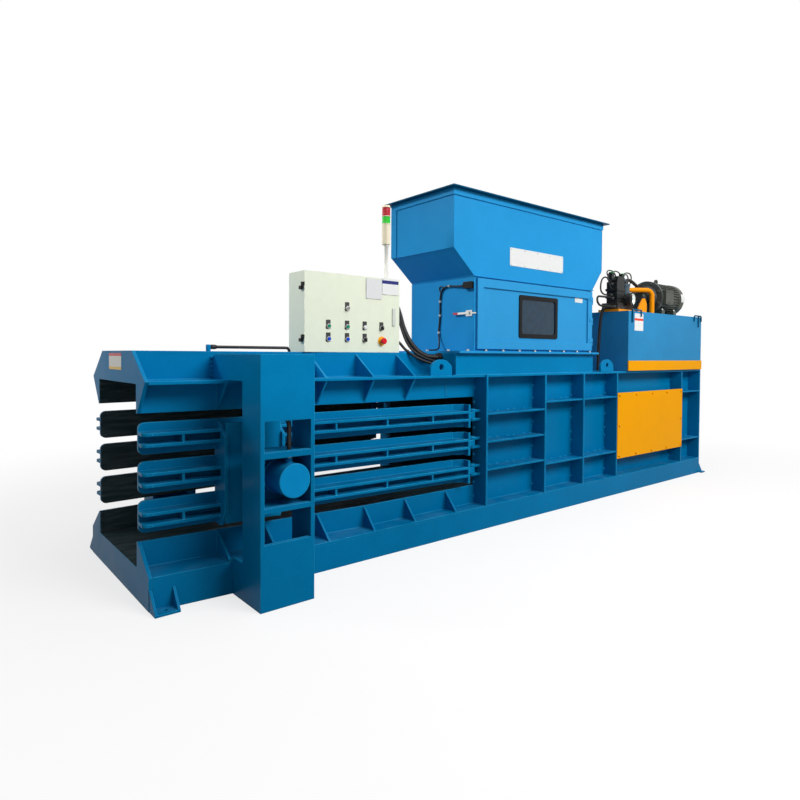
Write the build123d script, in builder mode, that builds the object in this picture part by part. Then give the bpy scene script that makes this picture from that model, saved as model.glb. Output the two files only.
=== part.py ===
from build123d import *
from math import asin, atan, cos, degrees, radians, sin, tan
import os

# Horizontal baler with side squeeze gates, in millimetres
# X runs from the discharge end to the power unit, the operator stands at -Y, the floor is Z = 0

# Stations along the machine
discharge_x = -2800
portal_x = -2400
portal_width = 290
taper_x = -1510
rib_x = [-540, 120, 630, 1135, 2325]
rear_x = 2730

# Levels of the body
floor_top = 160
top_level = 1080
lower_wall_top = 288
upper_wall_bottom = 920
roof_height = 148
roof_level = top_level + roof_height

# Half-widths of the body, outwards from the chamber
body_half = 608
rib_depth = 120
skin_half = body_half - rib_depth
shelf_half = body_half - 13
roof_half = skin_half - 91

# Half-widths at the discharge end, where the chamber is narrower
base_front_half = body_half - 55
wall_front_half = skin_half - 107
shelf_front_half = shelf_half - 85
roof_front_half = roof_half - 105

# Plate thicknesses
plate = 16
skirt = 12
roof_sheet = 12
gusset = 12
stiffener = 12

# Ribs and the ledges between them
three_ledges = [409, 606, 802]
two_ledges = [376, 858]
gusset_x = [-2151, -1831, -1511, -1189]
last_gusset_x = -827
portal_gusset_x = portal_x - gusset / 2
gusset_inset = 6

# Portal columns
column_reach = 288
column_depth = 196
column_half = body_half + column_reach
column_inner_half = column_half - column_depth
column_top = 1213
sill_top = 185
window_stile = 20
window_levels = [(315, 463), (488, 720), (750, 897)]
shelf_levels = [475, 735]

# Squeeze gates
hinge_x = -610
hinge_offset = 34
hinge_half = skin_half + hinge_offset
gate_tilt = degrees(atan(0.0503))
gate_inner = 50
gate_depth = 105
gate_face = 20
gate_tip = -2190
gate_end = -60
finger_levels = [409, 602, 795]
finger_height = 158
flange_height = 70
web_places = [-2002, -1640, -1127, -761, -396]
yoke_places = [-1812, -1497]
yoke_reach = 65
pad_reach = 45
pin_radius = 20
running_gap = 0.05

# Squeeze cylinders
squeeze_x = -2219
squeeze_level = 602
squeeze_outer = 82
squeeze_bore = 62.5
squeeze_rod = 45
rod_gap = 0.5
nose_radius = 90
port_y = 60 - column_half
squeeze_flange = 90
hose_hole = 20

# Main ram and cylinder
ram_front = 700
ram_length = 520
ram_side_gap = 4
ram_half = skin_half - plate - ram_side_gap
ram_apron = 1200
ram_lift = 0.5
cylinder_x = 1350
cylinder_outer = 120
cylinder_bore = 100
ram_rod_radius = 70
cross_wall_top = 1030

# Feed opening and hopper
feed_low_x = -500
feed_high_x = 650
feed_near_y = plate + 7 - skin_half
feed_far_y = 60
collar_low_x = -836
collar_high_x = 770
collar_half = body_half - 15
hopper_back_y = 75
hopper_low_x = -657
hopper_high_x = 754
hopper_front_y = 8 - collar_half
hopper_flare = 140
hopper_left_flare = 200
hopper_flange = 15
hopper_lower_height = 516
hopper_slope_height = 173
hopper_upright_height = 401
hopper_seam_level = roof_level + hopper_flange + hopper_lower_height
hopper_flare_level = hopper_seam_level + hopper_slope_height
hopper_top = hopper_flare_level + hopper_upright_height
hopper_sheet = 6
rim = 45
rim_sheet = 8

# Hopper door
door_low_x = -640
door_high_x = 738
door_low_z = roof_level + 30
door_high_z = hopper_seam_level - 14
door_depth = 18
door_frame = 60
door_web = 6
window_x = (-181, 261)
window_z = (door_low_z + 97, door_low_z + 392)
window_band = 20
door_hinge_x = 746
door_hinge_levels = [door_low_z + 72, door_low_z + 242, door_low_z + 412]

# Control cabinet
cabinet_low_x = -1870
cabinet_high_x = -1155
cabinet_depth = 163
cabinet_door_depth = 20
cabinet_door_y = 14 - roof_half
cabinet_front_y = cabinet_door_y + cabinet_door_depth
cabinet_back_y = cabinet_front_y + cabinet_depth
cabinet_height = 477
cabinet_top = roof_level + cabinet_height
cabinet_sheet = 3
cabinet_hinge_levels = [roof_level + 81, roof_level + 388]
control_columns = [-1706, -1570, -1436, -1304]
control_rows = [roof_level + 80, roof_level + 157]
key_level = roof_level + 270
bezel_outer = 15
bezel_inner = 11.3
bezel_depth = 10
legend_depth = 1.5
cap_radius = 11
cap_stand = 5.5
cap_travel = 3.5

# Signal tower
tower_place = (cabinet_high_x - 50, cabinet_front_y + 61)
tower_levels = [cabinet_top + height for height in (238, 373, 423, 482, 495)]

# Power unit
tank_low_x = 1272
tank_high_x = 2690
tank_near_y = -body_half - 17
tank_depth = 900
tank_far_y = tank_near_y + tank_depth
tank_sheet = 5
tank_lid = 8
tank_height = 538
tank_top = top_level + tank_height
motor_y = tank_near_y + 168
motor_z = tank_top + 162
motor_radius = 150
motor_low_x = 1890
motor_high_x = 2290
shaft_radius = 24
manifold_low = (1300, tank_near_y + 125, tank_top + 22)
manifold_high = (1565, tank_near_y + 285, tank_top + 82)
valve_height = 195
filter_radius = 38
gauge_radius = 60
pipe_radius = 22


def block(low, high):
    """A flat bar or plate between its lowest and its highest corner"""
    with BuildPart() as bar:
        with BuildSketch(Plane.XY.offset(low[2])):
            with Locations(((low[0] + high[0]) / 2, (low[1] + high[1]) / 2)):
                Rectangle(high[0] - low[0], high[1] - low[1])
        extrude(amount=high[2] - low[2])
    return bar.part


def plan_plate(outline, z_low, z_high):
    """A plate whose outline is seen from above"""
    with BuildPart() as flat:
        with BuildSketch(Plane.XY.offset(z_low)):
            with BuildLine():
                Polyline(*outline, close=True)
            make_face()
        extrude(amount=z_high - z_low)
    return flat.part


def side_plate(outline, y_low, y_high):
    """A plate whose outline is seen from the operator's side"""
    with BuildPart() as flat:
        with BuildSketch(Plane.XZ.offset(-y_high)):
            with BuildLine():
                Polyline(*outline, close=True)
            make_face()
        extrude(amount=y_high - y_low)
    return flat.part


def cross_plate(outline, x_low, x_high):
    """A plate whose outline is seen along the machine"""
    with BuildPart() as flat:
        with BuildSketch(Plane.YZ.offset(x_low)):
            with BuildLine():
                Polyline(*outline, close=True)
            make_face()
        extrude(amount=x_high - x_low)
    return flat.part


def turned(profile, plane):
    """A round piece turned from its half profile, given as (radius, height) along the plane's normal"""
    with BuildPart() as piece:
        with BuildSketch(Plane(origin=plane.origin, x_dir=plane.x_dir, z_dir=-plane.y_dir)):
            with BuildLine():
                Polyline(*profile, close=True)
            make_face()
        revolve(axis=Axis(plane.origin, plane.z_dir))
    return piece.part


def far(piece):
    """The same piece on the far side of the machine"""
    return piece.mirror(Plane.XZ)


def both(pieces):
    """Pieces of the near side with their twins on the far side"""
    return pieces + [far(piece) for piece in pieces]


def write(name, pieces):
    """One file for one node, as a single piece or a group of separate pieces"""
    if len(pieces) == 1:
        node = pieces[0]
    else:
        node = Compound(children=pieces)
    node.label = name
    export_step(node, "parts/" + name + ".step")


def narrowed(x, start, wide, narrow):
    """Half-width at a station, which falls in a straight line from the start to the discharge end"""
    share = max(0, (start - x) / (start - discharge_x))
    return wide - share * (wide - narrow)


def base_at(x):
    """Half-width of the base"""
    return narrowed(x, portal_x + portal_width, body_half, base_front_half)


def wall_at(x):
    """Half-width of the chamber over its side walls"""
    return narrowed(x, taper_x, skin_half, wall_front_half)


def shelf_at(x):
    """Half-width of the shelf that the top plate makes"""
    return narrowed(x, taper_x, shelf_half, shelf_front_half)


def roof_at(x):
    """Half-width of the roof box"""
    return narrowed(x, taper_x, roof_half, roof_front_half)


def bent_wall(half_at, start, end, thickness, z_low, z_high):
    """An upright plate on the near side that follows a half-width between two stations"""
    outline = [
        (start, -half_at(start)),
        (end, -half_at(end)),
        (end, thickness - half_at(end)),
        (start, thickness - half_at(start)),
    ]
    return plan_plate(outline, z_low, z_high)


os.makedirs("parts", exist_ok=True)
inside_x = discharge_x + plate
inner_rear_x = rear_x - plate
under_top = top_level - plate
portal_right = portal_x + portal_width

# Base frame: floor plate, skirts, cross members and the rear plate
base_outline = [
    (inner_rear_x, -body_half),
    (portal_right, -body_half),
    (inside_x, -base_at(inside_x)),
    (inside_x, base_at(inside_x)),
    (portal_right, body_half),
    (inner_rear_x, body_half),
]
under_floor = floor_top - plate
base_pieces = [plan_plate(base_outline, under_floor, floor_top)]
near_skirt = block((portal_right, -body_half, 0), (inner_rear_x, skirt - body_half, under_floor))
tapered_skirt = bent_wall(base_at, portal_right, inside_x, skirt, 0, under_floor)
base_pieces += both([near_skirt, tapered_skirt])
for x in rib_x:
    member_low = (x - skirt / 2, skirt - body_half, 0)
    member_high = (x + skirt / 2, body_half - skirt, under_floor)
    base_pieces.append(block(member_low, member_high))
base_pieces.append(block((inner_rear_x, -body_half, 0), (rear_x, body_half, top_level)))
write("base_frame", base_pieces)

# Side walls: the ribbed skin, and the low and high walls that leave room for the gates
skin_start = rib_x[0] - plate / 2
skin = block((skin_start, -skin_half, floor_top), (inner_rear_x, plate - skin_half, under_top))
near_walls = [skin]
for z_low, z_high in [(floor_top, lower_wall_top), (upper_wall_bottom, under_top)]:
    near_walls.append(block((taper_x, -skin_half, z_low), (skin_start, plate - skin_half, z_high)))
    near_walls.append(bent_wall(wall_at, taper_x, inside_x, plate, z_low, z_high))
wall_pieces = both(near_walls)
with BuildPart() as cross_wall:
    with BuildSketch(Plane.YZ.offset(cylinder_x - plate)):
        with Locations((0, (floor_top + cross_wall_top) / 2)):
            Rectangle(2 * (skin_half - plate), cross_wall_top - floor_top)
        with Locations((0, (floor_top + under_top) / 2)):
            Circle(ram_rod_radius + plate, mode=Mode.SUBTRACT)
    extrude(amount=plate)
wall_pieces.append(cross_wall.part)
write("side_walls", wall_pieces)

# Ribs and ledges
near_ribs = []
for x in rib_x:
    near_ribs.append(block((x - plate / 2, -body_half, floor_top), (x + plate / 2, -skin_half, under_top)))


def ledges(bay, levels):
    """Ledges across one bay between two ribs"""
    stations = rib_x + [inner_rear_x + plate / 2]
    x_low = stations[bay] + plate / 2
    x_high = stations[bay + 1] - plate / 2
    half = stiffener / 2
    return [block((x_low, 4 - body_half, z - half), (x_high, -skin_half, z + half)) for z in levels]


near_ledges = ledges(0, three_ledges) + ledges(1, two_ledges) + ledges(2, two_ledges) + ledges(4, two_ledges)
hidden_ledges = [far(piece) for piece in ledges(3, two_ledges)]

# Gussets on the base, above the shelf and below it
near_gussets = []
for x in gusset_x + [last_gusset_x, portal_gusset_x]:
    wall = wall_at(x + gusset / 2)
    toe = base_at(x - gusset / 2) - gusset_inset
    outline = [(-wall, floor_top), (-toe, floor_top), (-wall, lower_wall_top)]
    near_gussets.append(cross_plate(outline, x - gusset / 2, x + gusset / 2))
for x in gusset_x[1:] + [portal_gusset_x]:
    wall = wall_at(x + gusset / 2)
    toe = shelf_at(x - gusset / 2) - gusset_inset
    outline = [(-wall, under_top), (-toe, under_top), (-wall, upper_wall_bottom + 5)]
    near_gussets.append(cross_plate(outline, x - gusset / 2, x + gusset / 2))
for x in gusset_x[1:]:
    wall = roof_at(x + gusset / 2)
    toe = shelf_at(x - gusset / 2) - gusset_inset
    outline = [(-wall, top_level), (-toe, top_level), (-wall, roof_level - roof_sheet)]
    near_gussets.append(cross_plate(outline, x - gusset / 2, x + gusset / 2))
write("ribs", both(near_ribs + near_ledges + near_gussets) + hidden_ledges)

# Top plate, which is also the shelf, with the feed opening
near_edge = [
    (inner_rear_x, -body_half),
    (skin_start, -body_half),
    (skin_start, -shelf_half),
    (taper_x, -shelf_half),
    (inside_x, -shelf_at(inside_x)),
]
far_edge = [(x, -y) for x, y in reversed(near_edge)]
with BuildPart() as top_plate:
    with BuildSketch(Plane.XY.offset(under_top)):
        with BuildLine():
            Polyline(*(near_edge + far_edge), close=True)
        make_face()
        with Locations(((feed_low_x + feed_high_x) / 2, (feed_near_y + feed_far_y) / 2)):
            Rectangle(feed_high_x - feed_low_x, feed_far_y - feed_near_y, mode=Mode.SUBTRACT)
    extrude(amount=plate)
write("top_plate", [top_plate.part])

# Roof box over the squeeze section
under_roof = roof_level - roof_sheet
near_roof_walls = [
    block((taper_x, -roof_half, top_level), (collar_low_x, roof_sheet - roof_half, under_roof)),
    bent_wall(roof_at, taper_x, inside_x, roof_sheet, top_level, under_roof),
]
roof_end_half = roof_half - roof_sheet
roof_end_low = (collar_low_x - roof_sheet, -roof_end_half, top_level)
roof_end = block(roof_end_low, (collar_low_x, roof_end_half, under_roof))
roof_outline = [
    (collar_low_x, -roof_half),
    (taper_x, -roof_half),
    (inside_x, -roof_at(inside_x)),
    (inside_x, roof_at(inside_x)),
    (taper_x, roof_half),
    (collar_low_x, roof_half),
]
roof_deck = plan_plate(roof_outline, under_roof, roof_level)
write("roof_box", both(near_roof_walls) + [roof_end, roof_deck])

# End plates round the discharge mouth
mouth_half = wall_front_half - plate
upper_right = [
    (roof_front_half, roof_level),
    (shelf_front_half, top_level - 2),
    (wall_front_half, upper_wall_bottom),
    (mouth_half, upper_wall_bottom),
    (mouth_half, under_top),
]
lower_right = [
    (base_front_half, 0),
    (base_front_half, floor_top),
    (wall_front_half, lower_wall_top),
    (mouth_half, lower_wall_top),
    (mouth_half, floor_top),
]
upper_frame = cross_plate(upper_right + [(-y, z) for y, z in reversed(upper_right)], discharge_x, inside_x)
lower_frame = cross_plate(lower_right + [(-y, z) for y, z in reversed(lower_right)], discharge_x, inside_x)
write("discharge_plates", [upper_frame, lower_frame])

# Portal column: two side plates with arm and sill, the windowed face, shelves, cap and cylinder plate
left_inner_x = portal_x + plate
right_inner_x = portal_right - plate
under_cap = column_top - roof_sheet
squeeze_plane = Plane(origin=(squeeze_x, 0, squeeze_level), x_dir=(1, 0, 0), z_dir=(0, 1, 0))
column_pieces = []
for x_low in [portal_x, right_inner_x]:
    sill_half = base_at(x_low + plate)
    arm_half = roof_at(x_low + plate)
    outline = [
        (plate - column_half, 0),
        (-sill_half, 0),
        (-sill_half, sill_top),
        (-column_inner_half, sill_top),
        (-column_inner_half, top_level),
        (-arm_half, top_level),
        (-arm_half, under_cap),
        (plate - column_half, under_cap),
    ]
    column_pieces.append(cross_plate(outline, x_low, x_low + plate))
with BuildPart() as column_face:
    with BuildSketch(Plane.XZ.offset(column_half - plate)):
        with Locations((portal_x + portal_width / 2, column_top / 2)):
            Rectangle(portal_width, column_top)
        for z_low, z_high in window_levels:
            with Locations((portal_x + portal_width / 2, (z_low + z_high) / 2)):
                Rectangle(portal_width - 2 * window_stile, z_high - z_low, mode=Mode.SUBTRACT)
    extrude(amount=plate)
column_pieces.append(column_face.part)
cap_outline = [
    (portal_x, plate - column_half),
    (portal_right, plate - column_half),
    (portal_right, -roof_at(portal_right)),
    (portal_x, -roof_at(portal_right)),
]
column_pieces.append(plan_plate(cap_outline, under_cap, column_top))
for z, hole in zip(shelf_levels, [0, hose_hole]):
    with BuildPart() as column_shelf:
        add(
            block(
                (left_inner_x, plate - column_half, z - plate / 2),
                (right_inner_x, -column_inner_half, z + plate / 2),
            )
        )
        if hole:
            with Locations((squeeze_x, port_y, z + plate / 2)):
                Hole(hole)
    column_pieces.append(column_shelf.part)
with BuildPart() as cylinder_plate:
    with BuildSketch(Plane.XZ.offset(column_inner_half)):
        with Locations(((left_inner_x + right_inner_x) / 2, sum(shelf_levels) / 2)):
            Rectangle(right_inner_x - left_inner_x, shelf_levels[1] - shelf_levels[0] - plate)
        with Locations((squeeze_x, squeeze_level)):
            Circle(squeeze_outer + 0.3, mode=Mode.SUBTRACT)
    extrude(amount=plate)
column_pieces.append(cylinder_plate.part)
write("near_column", column_pieces)
write("far_column", [far(piece) for piece in column_pieces])

# Anchor feet: a bored foot plate with two webs at each corner
foot_plate = 12
foot_line = body_half - 11
foot_reach = foot_line + 43
foot_hole = 13
foot_web = 90
front_foot_x = -2739
rear_foot_x = 2770
foot_low_x = discharge_x + 2
foot_high_x = foot_low_x + 118
with BuildPart() as front_foot:
    with BuildSketch():
        with BuildLine():
            Polyline(
                (foot_low_x, -foot_reach),
                (foot_high_x, -foot_reach),
                (foot_high_x, -base_at(foot_high_x)),
                (foot_low_x, -base_at(foot_low_x)),
                close=True,
            )
        make_face()
        with Locations((front_foot_x, -foot_line)):
            Circle(foot_hole, mode=Mode.SUBTRACT)
    extrude(amount=foot_plate)
feet = [front_foot.part]
for x_low in [foot_low_x, foot_high_x - foot_plate]:
    root = base_at(x_low + foot_plate)
    outline = [(-root, foot_plate), (-foot_reach, foot_plate), (-root, foot_plate + foot_web)]
    feet.append(cross_plate(outline, x_low, x_low + foot_plate))
rear_foot_end = 2800
with BuildPart() as rear_foot:
    with BuildSketch():
        with Locations(((rear_x + rear_foot_end) / 2, -foot_line)):
            Rectangle(rear_foot_end - rear_x, 2 * (foot_reach - foot_line))
        with Locations((rear_foot_x, -foot_line)):
            Circle(foot_hole, mode=Mode.SUBTRACT)
    extrude(amount=foot_plate)
feet.append(rear_foot.part)
rear_web = [(rear_x, foot_plate), (rear_foot_end, foot_plate), (rear_x, foot_plate + foot_web)]
feet.append(side_plate(rear_web, -body_half, foot_plate - body_half))
write("anchor_feet", both(feet))

# Lifting lugs: round-topped plates, one by the roof box and one in front of the tank
lug_half = 95
lug_height = 105
lug_plate = 20
lug_hole = 20
lug_hole_level = top_level + 55
lug_places = [(-955, 35 - shelf_half), (963, 18 - body_half)]
lugs = []
for x, y in lug_places:
    with BuildPart() as lug:
        with BuildSketch(Plane.XZ.offset(-y)):
            with BuildLine():
                Polyline((x + lug_half, lug_hole_level), (x + lug_half, top_level), (x - lug_half, top_level))
                Line((x - lug_half, top_level), (x - lug_half, lug_hole_level))
                ThreePointArc(
                    (x - lug_half, lug_hole_level),
                    (x, top_level + lug_height),
                    (x + lug_half, lug_hole_level),
                )
            make_face()
            with Locations((x, lug_hole_level)):
                Circle(lug_hole, mode=Mode.SUBTRACT)
        extrude(amount=lug_plate)
    lugs.append(lug.part)
write("lifting_lugs", both(lugs))

# Squeeze cylinder: a closed barrel with a flange and an oil port, its axis across the machine
barrel_back = -column_half - 2
barrel_overhang = 60
barrel_front = barrel_overhang - column_inner_half
gland = 40
barrel_cap = 14
barrel_profile = [
    (0, barrel_back),
    (squeeze_outer, barrel_back),
    (squeeze_outer, barrel_front),
    (squeeze_rod + running_gap, barrel_front),
    (squeeze_rod + running_gap, barrel_front - gland),
    (squeeze_bore, barrel_front - gland),
    (squeeze_bore, barrel_back + barrel_cap),
    (0, barrel_back + barrel_cap),
]
barrel = turned(barrel_profile, squeeze_plane)
flange_back = -column_inner_half - plate
flange_depth = 20
flange_profile = [
    (squeeze_outer, flange_back - flange_depth),
    (squeeze_flange, flange_back - flange_depth),
    (squeeze_flange, flange_back),
    (squeeze_outer, flange_back),
]
port_radius = 16
port_top = squeeze_level + squeeze_outer + 22
port = turned(
    [(0, squeeze_level + squeeze_outer - 5), (port_radius, squeeze_level + squeeze_outer - 5),
     (port_radius, port_top), (0, port_top)],
    Plane(origin=(squeeze_x, port_y, 0)),
)
with BuildPart() as squeeze_cylinder:
    add(barrel)
    add(turned(flange_profile, squeeze_plane))
    add(port)
write("squeeze_cylinders", both([squeeze_cylinder.part]))

# Squeeze rod with its piston; its round nose pushes the gate's pad
tilt = radians(gate_tilt)
pad_outer = gate_inner - gate_depth - pad_reach
pad_line = (squeeze_x - hinge_x - pad_outer * sin(tilt)) / cos(tilt)
nose_y = -hinge_half - pad_line * sin(tilt) + pad_outer * cos(tilt) - rod_gap
piston_back = barrel_front - 160
piston_depth = 40
nose_turn = asin(squeeze_rod / nose_radius)
nose_rise = nose_radius * (1 - cos(nose_turn))
nose_middle = (nose_radius * sin(nose_turn / 2), nose_y - nose_radius * (1 - cos(nose_turn / 2)))
with BuildPart() as squeeze_rod_piece:
    with BuildSketch(Plane(origin=squeeze_plane.origin, x_dir=(1, 0, 0), z_dir=(0, 0, 1))):
        with BuildLine():
            Polyline(
                (0, nose_y),
                (0, piston_back),
                (squeeze_bore - 0.1, piston_back),
                (squeeze_bore - 0.1, piston_back + piston_depth),
                (squeeze_rod, piston_back + piston_depth),
                (squeeze_rod, nose_y - nose_rise),
            )
            ThreePointArc((squeeze_rod, nose_y - nose_rise), nose_middle, (0, nose_y))
        make_face()
    revolve(axis=Axis(squeeze_plane.origin, squeeze_plane.z_dir))
write("near_rod", [squeeze_rod_piece.part])
write("far_rod", [far(squeeze_rod_piece.part)])

# Squeeze gate: three channel fingers joined by a yoke, drawn in a frame that turns with the gate
gate_frame = Plane(origin=(hinge_x, -hinge_half, 0), x_dir=(cos(tilt), -sin(tilt), 0), z_dir=(0, 0, 1))
gate_front = gate_inner - gate_depth
face_outer = gate_inner - gate_face
bend_place = -150
tip_round = 30
knuckle_round = 26
knuckle_half = 21.5


def gate_plate(outline, z_low, z_high):
    """A plate of the gate whose outline is seen from above"""
    with BuildPart() as flat:
        with BuildSketch(gate_frame.offset(z_low)):
            with BuildLine():
                Polyline(*outline, close=True)
            make_face()
        extrude(amount=z_high - z_low)
    return flat.part


def finger(level):
    """One channel finger: face plate, bent end, two flanges, webs, end plate and hinge knuckle"""
    low = level - finger_height / 2
    high = level + finger_height / 2
    face_outline = [
        (gate_tip, face_outer),
        (bend_place, face_outer),
        (bend_place, gate_inner),
        (gate_tip, gate_inner),
    ]
    with BuildPart() as face:
        add(gate_plate(face_outline, low, high))
        across = face.edges().filter_by(lambda edge: abs(edge.length - gate_face) < 0.01)
        fillet(across.sort_by(Axis.X)[:2], tip_round)
    end_inner = gate_end - plate
    bend_outline = [
        (bend_place, face_outer),
        (end_inner, face_outer - 35),
        (end_inner, gate_inner - 35),
        (bend_place, gate_inner),
    ]
    pieces = [face.part, gate_plate(bend_outline, low, high)]
    flange_outline = [
        (gate_tip, face_outer),
        (gate_tip, face_outer - 35),
        (gate_tip + 22, gate_front + 10),
        (gate_tip + 50, gate_front),
        (end_inner, gate_front),
        (end_inner, face_outer - 35),
        (bend_place, face_outer),
    ]
    for z in [level - flange_height / 2, level + flange_height / 2 - plate]:
        pieces.append(gate_plate(flange_outline, z, z + plate))
    web_low = level - flange_height / 2 + plate
    web_high = level + flange_height / 2 - plate
    for place in web_places:
        web_outline = [
            (place, face_outer),
            (place, gate_front + 4),
            (place + gusset, gate_front + 4),
            (place + gusset, face_outer),
        ]
        pieces.append(gate_plate(web_outline, web_low, web_high))
    end_outline = [
        (end_inner, gate_front),
        (gate_end, gate_front),
        (gate_end, gate_inner - 35),
        (end_inner, gate_inner - 35),
    ]
    pieces.append(gate_plate(end_outline, low, high))
    with BuildPart() as knuckle:
        with BuildSketch(gate_frame.offset(level - knuckle_half)):
            Circle(knuckle_round)
            with Locations((gate_end / 2, 0)):
                Rectangle(-gate_end, 2 * knuckle_round)
            Circle(pin_radius + running_gap, mode=Mode.SUBTRACT)
        extrude(amount=2 * knuckle_half)
    pieces.append(knuckle.part)
    return pieces


gate_pieces = []
for level in finger_levels:
    gate_pieces += finger(level)
yoke_low = finger_levels[0] - finger_height / 2
yoke_high = finger_levels[-1] + finger_height / 2 - 9
yoke_outer = gate_front - yoke_reach
for place in yoke_places:
    yoke_plane = Plane(
        origin=gate_frame.from_local_coords((place, 0, 0)),
        x_dir=gate_frame.y_dir,
        z_dir=gate_frame.x_dir,
    )
    with BuildPart() as yoke:
        with BuildSketch(yoke_plane):
            with BuildLine():
                Polyline(
                    (face_outer, yoke_low),
                    (gate_front - 5, yoke_low),
                    (yoke_outer, yoke_low + 80),
                    (yoke_outer, yoke_high - 75),
                    (gate_front + 40, yoke_high),
                    (face_outer, yoke_high),
                    close=True,
                )
            make_face()
            for level in finger_levels:
                with Locations(((face_outer + gate_front) / 2, level)):
                    Rectangle(face_outer - gate_front, flange_height, mode=Mode.SUBTRACT)
        extrude(amount=plate)
    gate_pieces.append(yoke.part)
pad_outline = [
    (yoke_places[0] + plate, pad_outer),
    (yoke_places[1], pad_outer),
    (yoke_places[1], pad_outer + gate_face),
    (yoke_places[0] + plate, pad_outer + gate_face),
]
gate_pieces.append(gate_plate(pad_outline, yoke_low + 15, yoke_high - 5))
write("near_gate", gate_pieces)
write("far_gate", [far(piece) for piece in gate_pieces])

# Hinge lugs on the first rib, with the pins that the gate knuckles turn on
lug_ear = 16
ear_gap = 0.5
pin_extra = 6
pin_head = 26
hinge_pieces = []
for level in finger_levels:
    for z in [level - knuckle_half - ear_gap - lug_ear, level + knuckle_half + ear_gap]:
        with BuildPart() as ear:
            with BuildSketch(Plane.XY.offset(z)):
                with Locations((hinge_x, -hinge_half)):
                    Circle(28)
                with Locations(((hinge_x + skin_start) / 2, -hinge_half)):
                    Rectangle(skin_start - hinge_x, 56)
                with Locations((hinge_x, -hinge_half)):
                    Circle(pin_radius + running_gap, mode=Mode.SUBTRACT)
            extrude(amount=lug_ear)
        hinge_pieces.append(ear.part)
    ear_top = level + knuckle_half + ear_gap + lug_ear
    ear_bottom = level - knuckle_half - ear_gap - lug_ear
    pin_profile = [
        (0, ear_bottom - pin_extra),
        (pin_radius, ear_bottom - pin_extra),
        (pin_radius, ear_top),
        (pin_head, ear_top),
        (pin_head, ear_top + pin_extra),
        (0, ear_top + pin_extra),
    ]
    hinge_pieces.append(turned(pin_profile, Plane(origin=(hinge_x, -hinge_half, 0))))
write("gate_hinges", both(hinge_pieces))

# Main ram: a box of plates with a trailing apron under the feed opening, and its rod with piston
chamber_level = (floor_top + under_top) / 2
ram_low = floor_top + ram_lift
apron_top = under_top - 8
apron_low = apron_top - plate
ram_back = ram_front + ram_length
ram_pieces = [
    block((ram_front, -ram_half, ram_low), (ram_front + 40, ram_half, apron_low)),
    block((ram_front + 40, -ram_half, ram_low), (ram_back - 30, ram_half, ram_low + plate)),
    block((ram_back - 30, -ram_half, ram_low), (ram_back, ram_half, apron_low)),
    block((ram_front, -ram_half, apron_low), (ram_front + ram_apron, ram_half, apron_top)),
]
ram_side_low = (ram_front + 40, -ram_half, ram_low + plate)
ram_pieces += both([block(ram_side_low, (ram_back - 30, gate_face - ram_half, apron_low))])
cylinder_plane = Plane(origin=(0, 0, chamber_level), x_dir=(0, 1, 0), z_dir=(1, 0, 0))
rear_gap = 10
piston_x = inner_rear_x - rear_gap - 50
ram_rod_profile = [
    (0, ram_back),
    (ram_rod_radius, ram_back),
    (ram_rod_radius, piston_x),
    (cylinder_bore - 0.1, piston_x),
    (cylinder_bore - 0.1, piston_x + 50),
    (0, piston_x + 50),
]
ram_pieces.append(turned(ram_rod_profile, cylinder_plane))
write("main_ram", ram_pieces)

# Main cylinder: barrel with front flange and gland, closed at the rear plate
front_gland = 50
main_flange = 170
main_profile = [
    (ram_rod_radius + running_gap, cylinder_x),
    (main_flange, cylinder_x),
    (main_flange, cylinder_x + 30),
    (cylinder_outer, cylinder_x + 30),
    (cylinder_outer, inner_rear_x),
    (0, inner_rear_x),
    (0, inner_rear_x - 8),
    (cylinder_bore, inner_rear_x - 8),
    (cylinder_bore, cylinder_x + front_gland),
    (ram_rod_radius + running_gap, cylinder_x + front_gland),
]
write("main_cylinder", [turned(main_profile, cylinder_plane)])

# Yellow access cover, bolted over the ribs of the fourth bay
cover_low_z = 312
cover_high_z = 892
cover_sheet = 6
access_cover = block(
    (rib_x[3], -body_half - cover_sheet, cover_low_z),
    (rib_x[4], -body_half, cover_high_z),
)
write("access_cover", [access_cover])

# Feed collar round the feed opening
collar_sheet = 12
collar_far_y = hopper_back_y + 23
write("feed_collar", [
    block((collar_low_x, -collar_half, top_level), (collar_high_x, collar_sheet - collar_half, roof_level)),
    block((collar_low_x, collar_far_y - collar_sheet, top_level), (collar_high_x, collar_far_y, roof_level)),
    block(
        (collar_low_x, collar_sheet - collar_half, top_level),
        (collar_low_x + collar_sheet, collar_far_y - collar_sheet, roof_level),
    ),
    block(
        (collar_high_x - collar_sheet, collar_sheet - collar_half, top_level),
        (collar_high_x, collar_far_y - collar_sheet, roof_level),
    ),
])

# Lower hopper: base flange, front wall with the door opening, side and rear walls
flange_top = roof_level + hopper_flange
inner_low_x = hopper_low_x + hopper_sheet
inner_high_x = hopper_high_x - hopper_sheet
inner_front_y = hopper_front_y + hopper_sheet
inner_back_y = hopper_back_y - hopper_sheet
opening_margin = 80
flange_front_y = -collar_half - 35
flange_high_x = collar_high_x + 35
lower_hopper = [
    block((collar_low_x, flange_front_y, roof_level), (flange_high_x, inner_front_y, flange_top)),
    block((collar_low_x, inner_back_y, roof_level), (flange_high_x, collar_far_y, flange_top)),
    block((collar_low_x, inner_front_y, roof_level), (inner_low_x, inner_back_y, flange_top)),
    block((inner_high_x, inner_front_y, roof_level), (flange_high_x, inner_back_y, flange_top)),
    block((hopper_low_x, inner_front_y, flange_top), (inner_low_x, hopper_back_y, hopper_seam_level)),
    block((inner_high_x, inner_front_y, flange_top), (hopper_high_x, hopper_back_y, hopper_seam_level)),
    block((inner_low_x, inner_back_y, flange_top), (inner_high_x, hopper_back_y, hopper_seam_level)),
]
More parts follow.
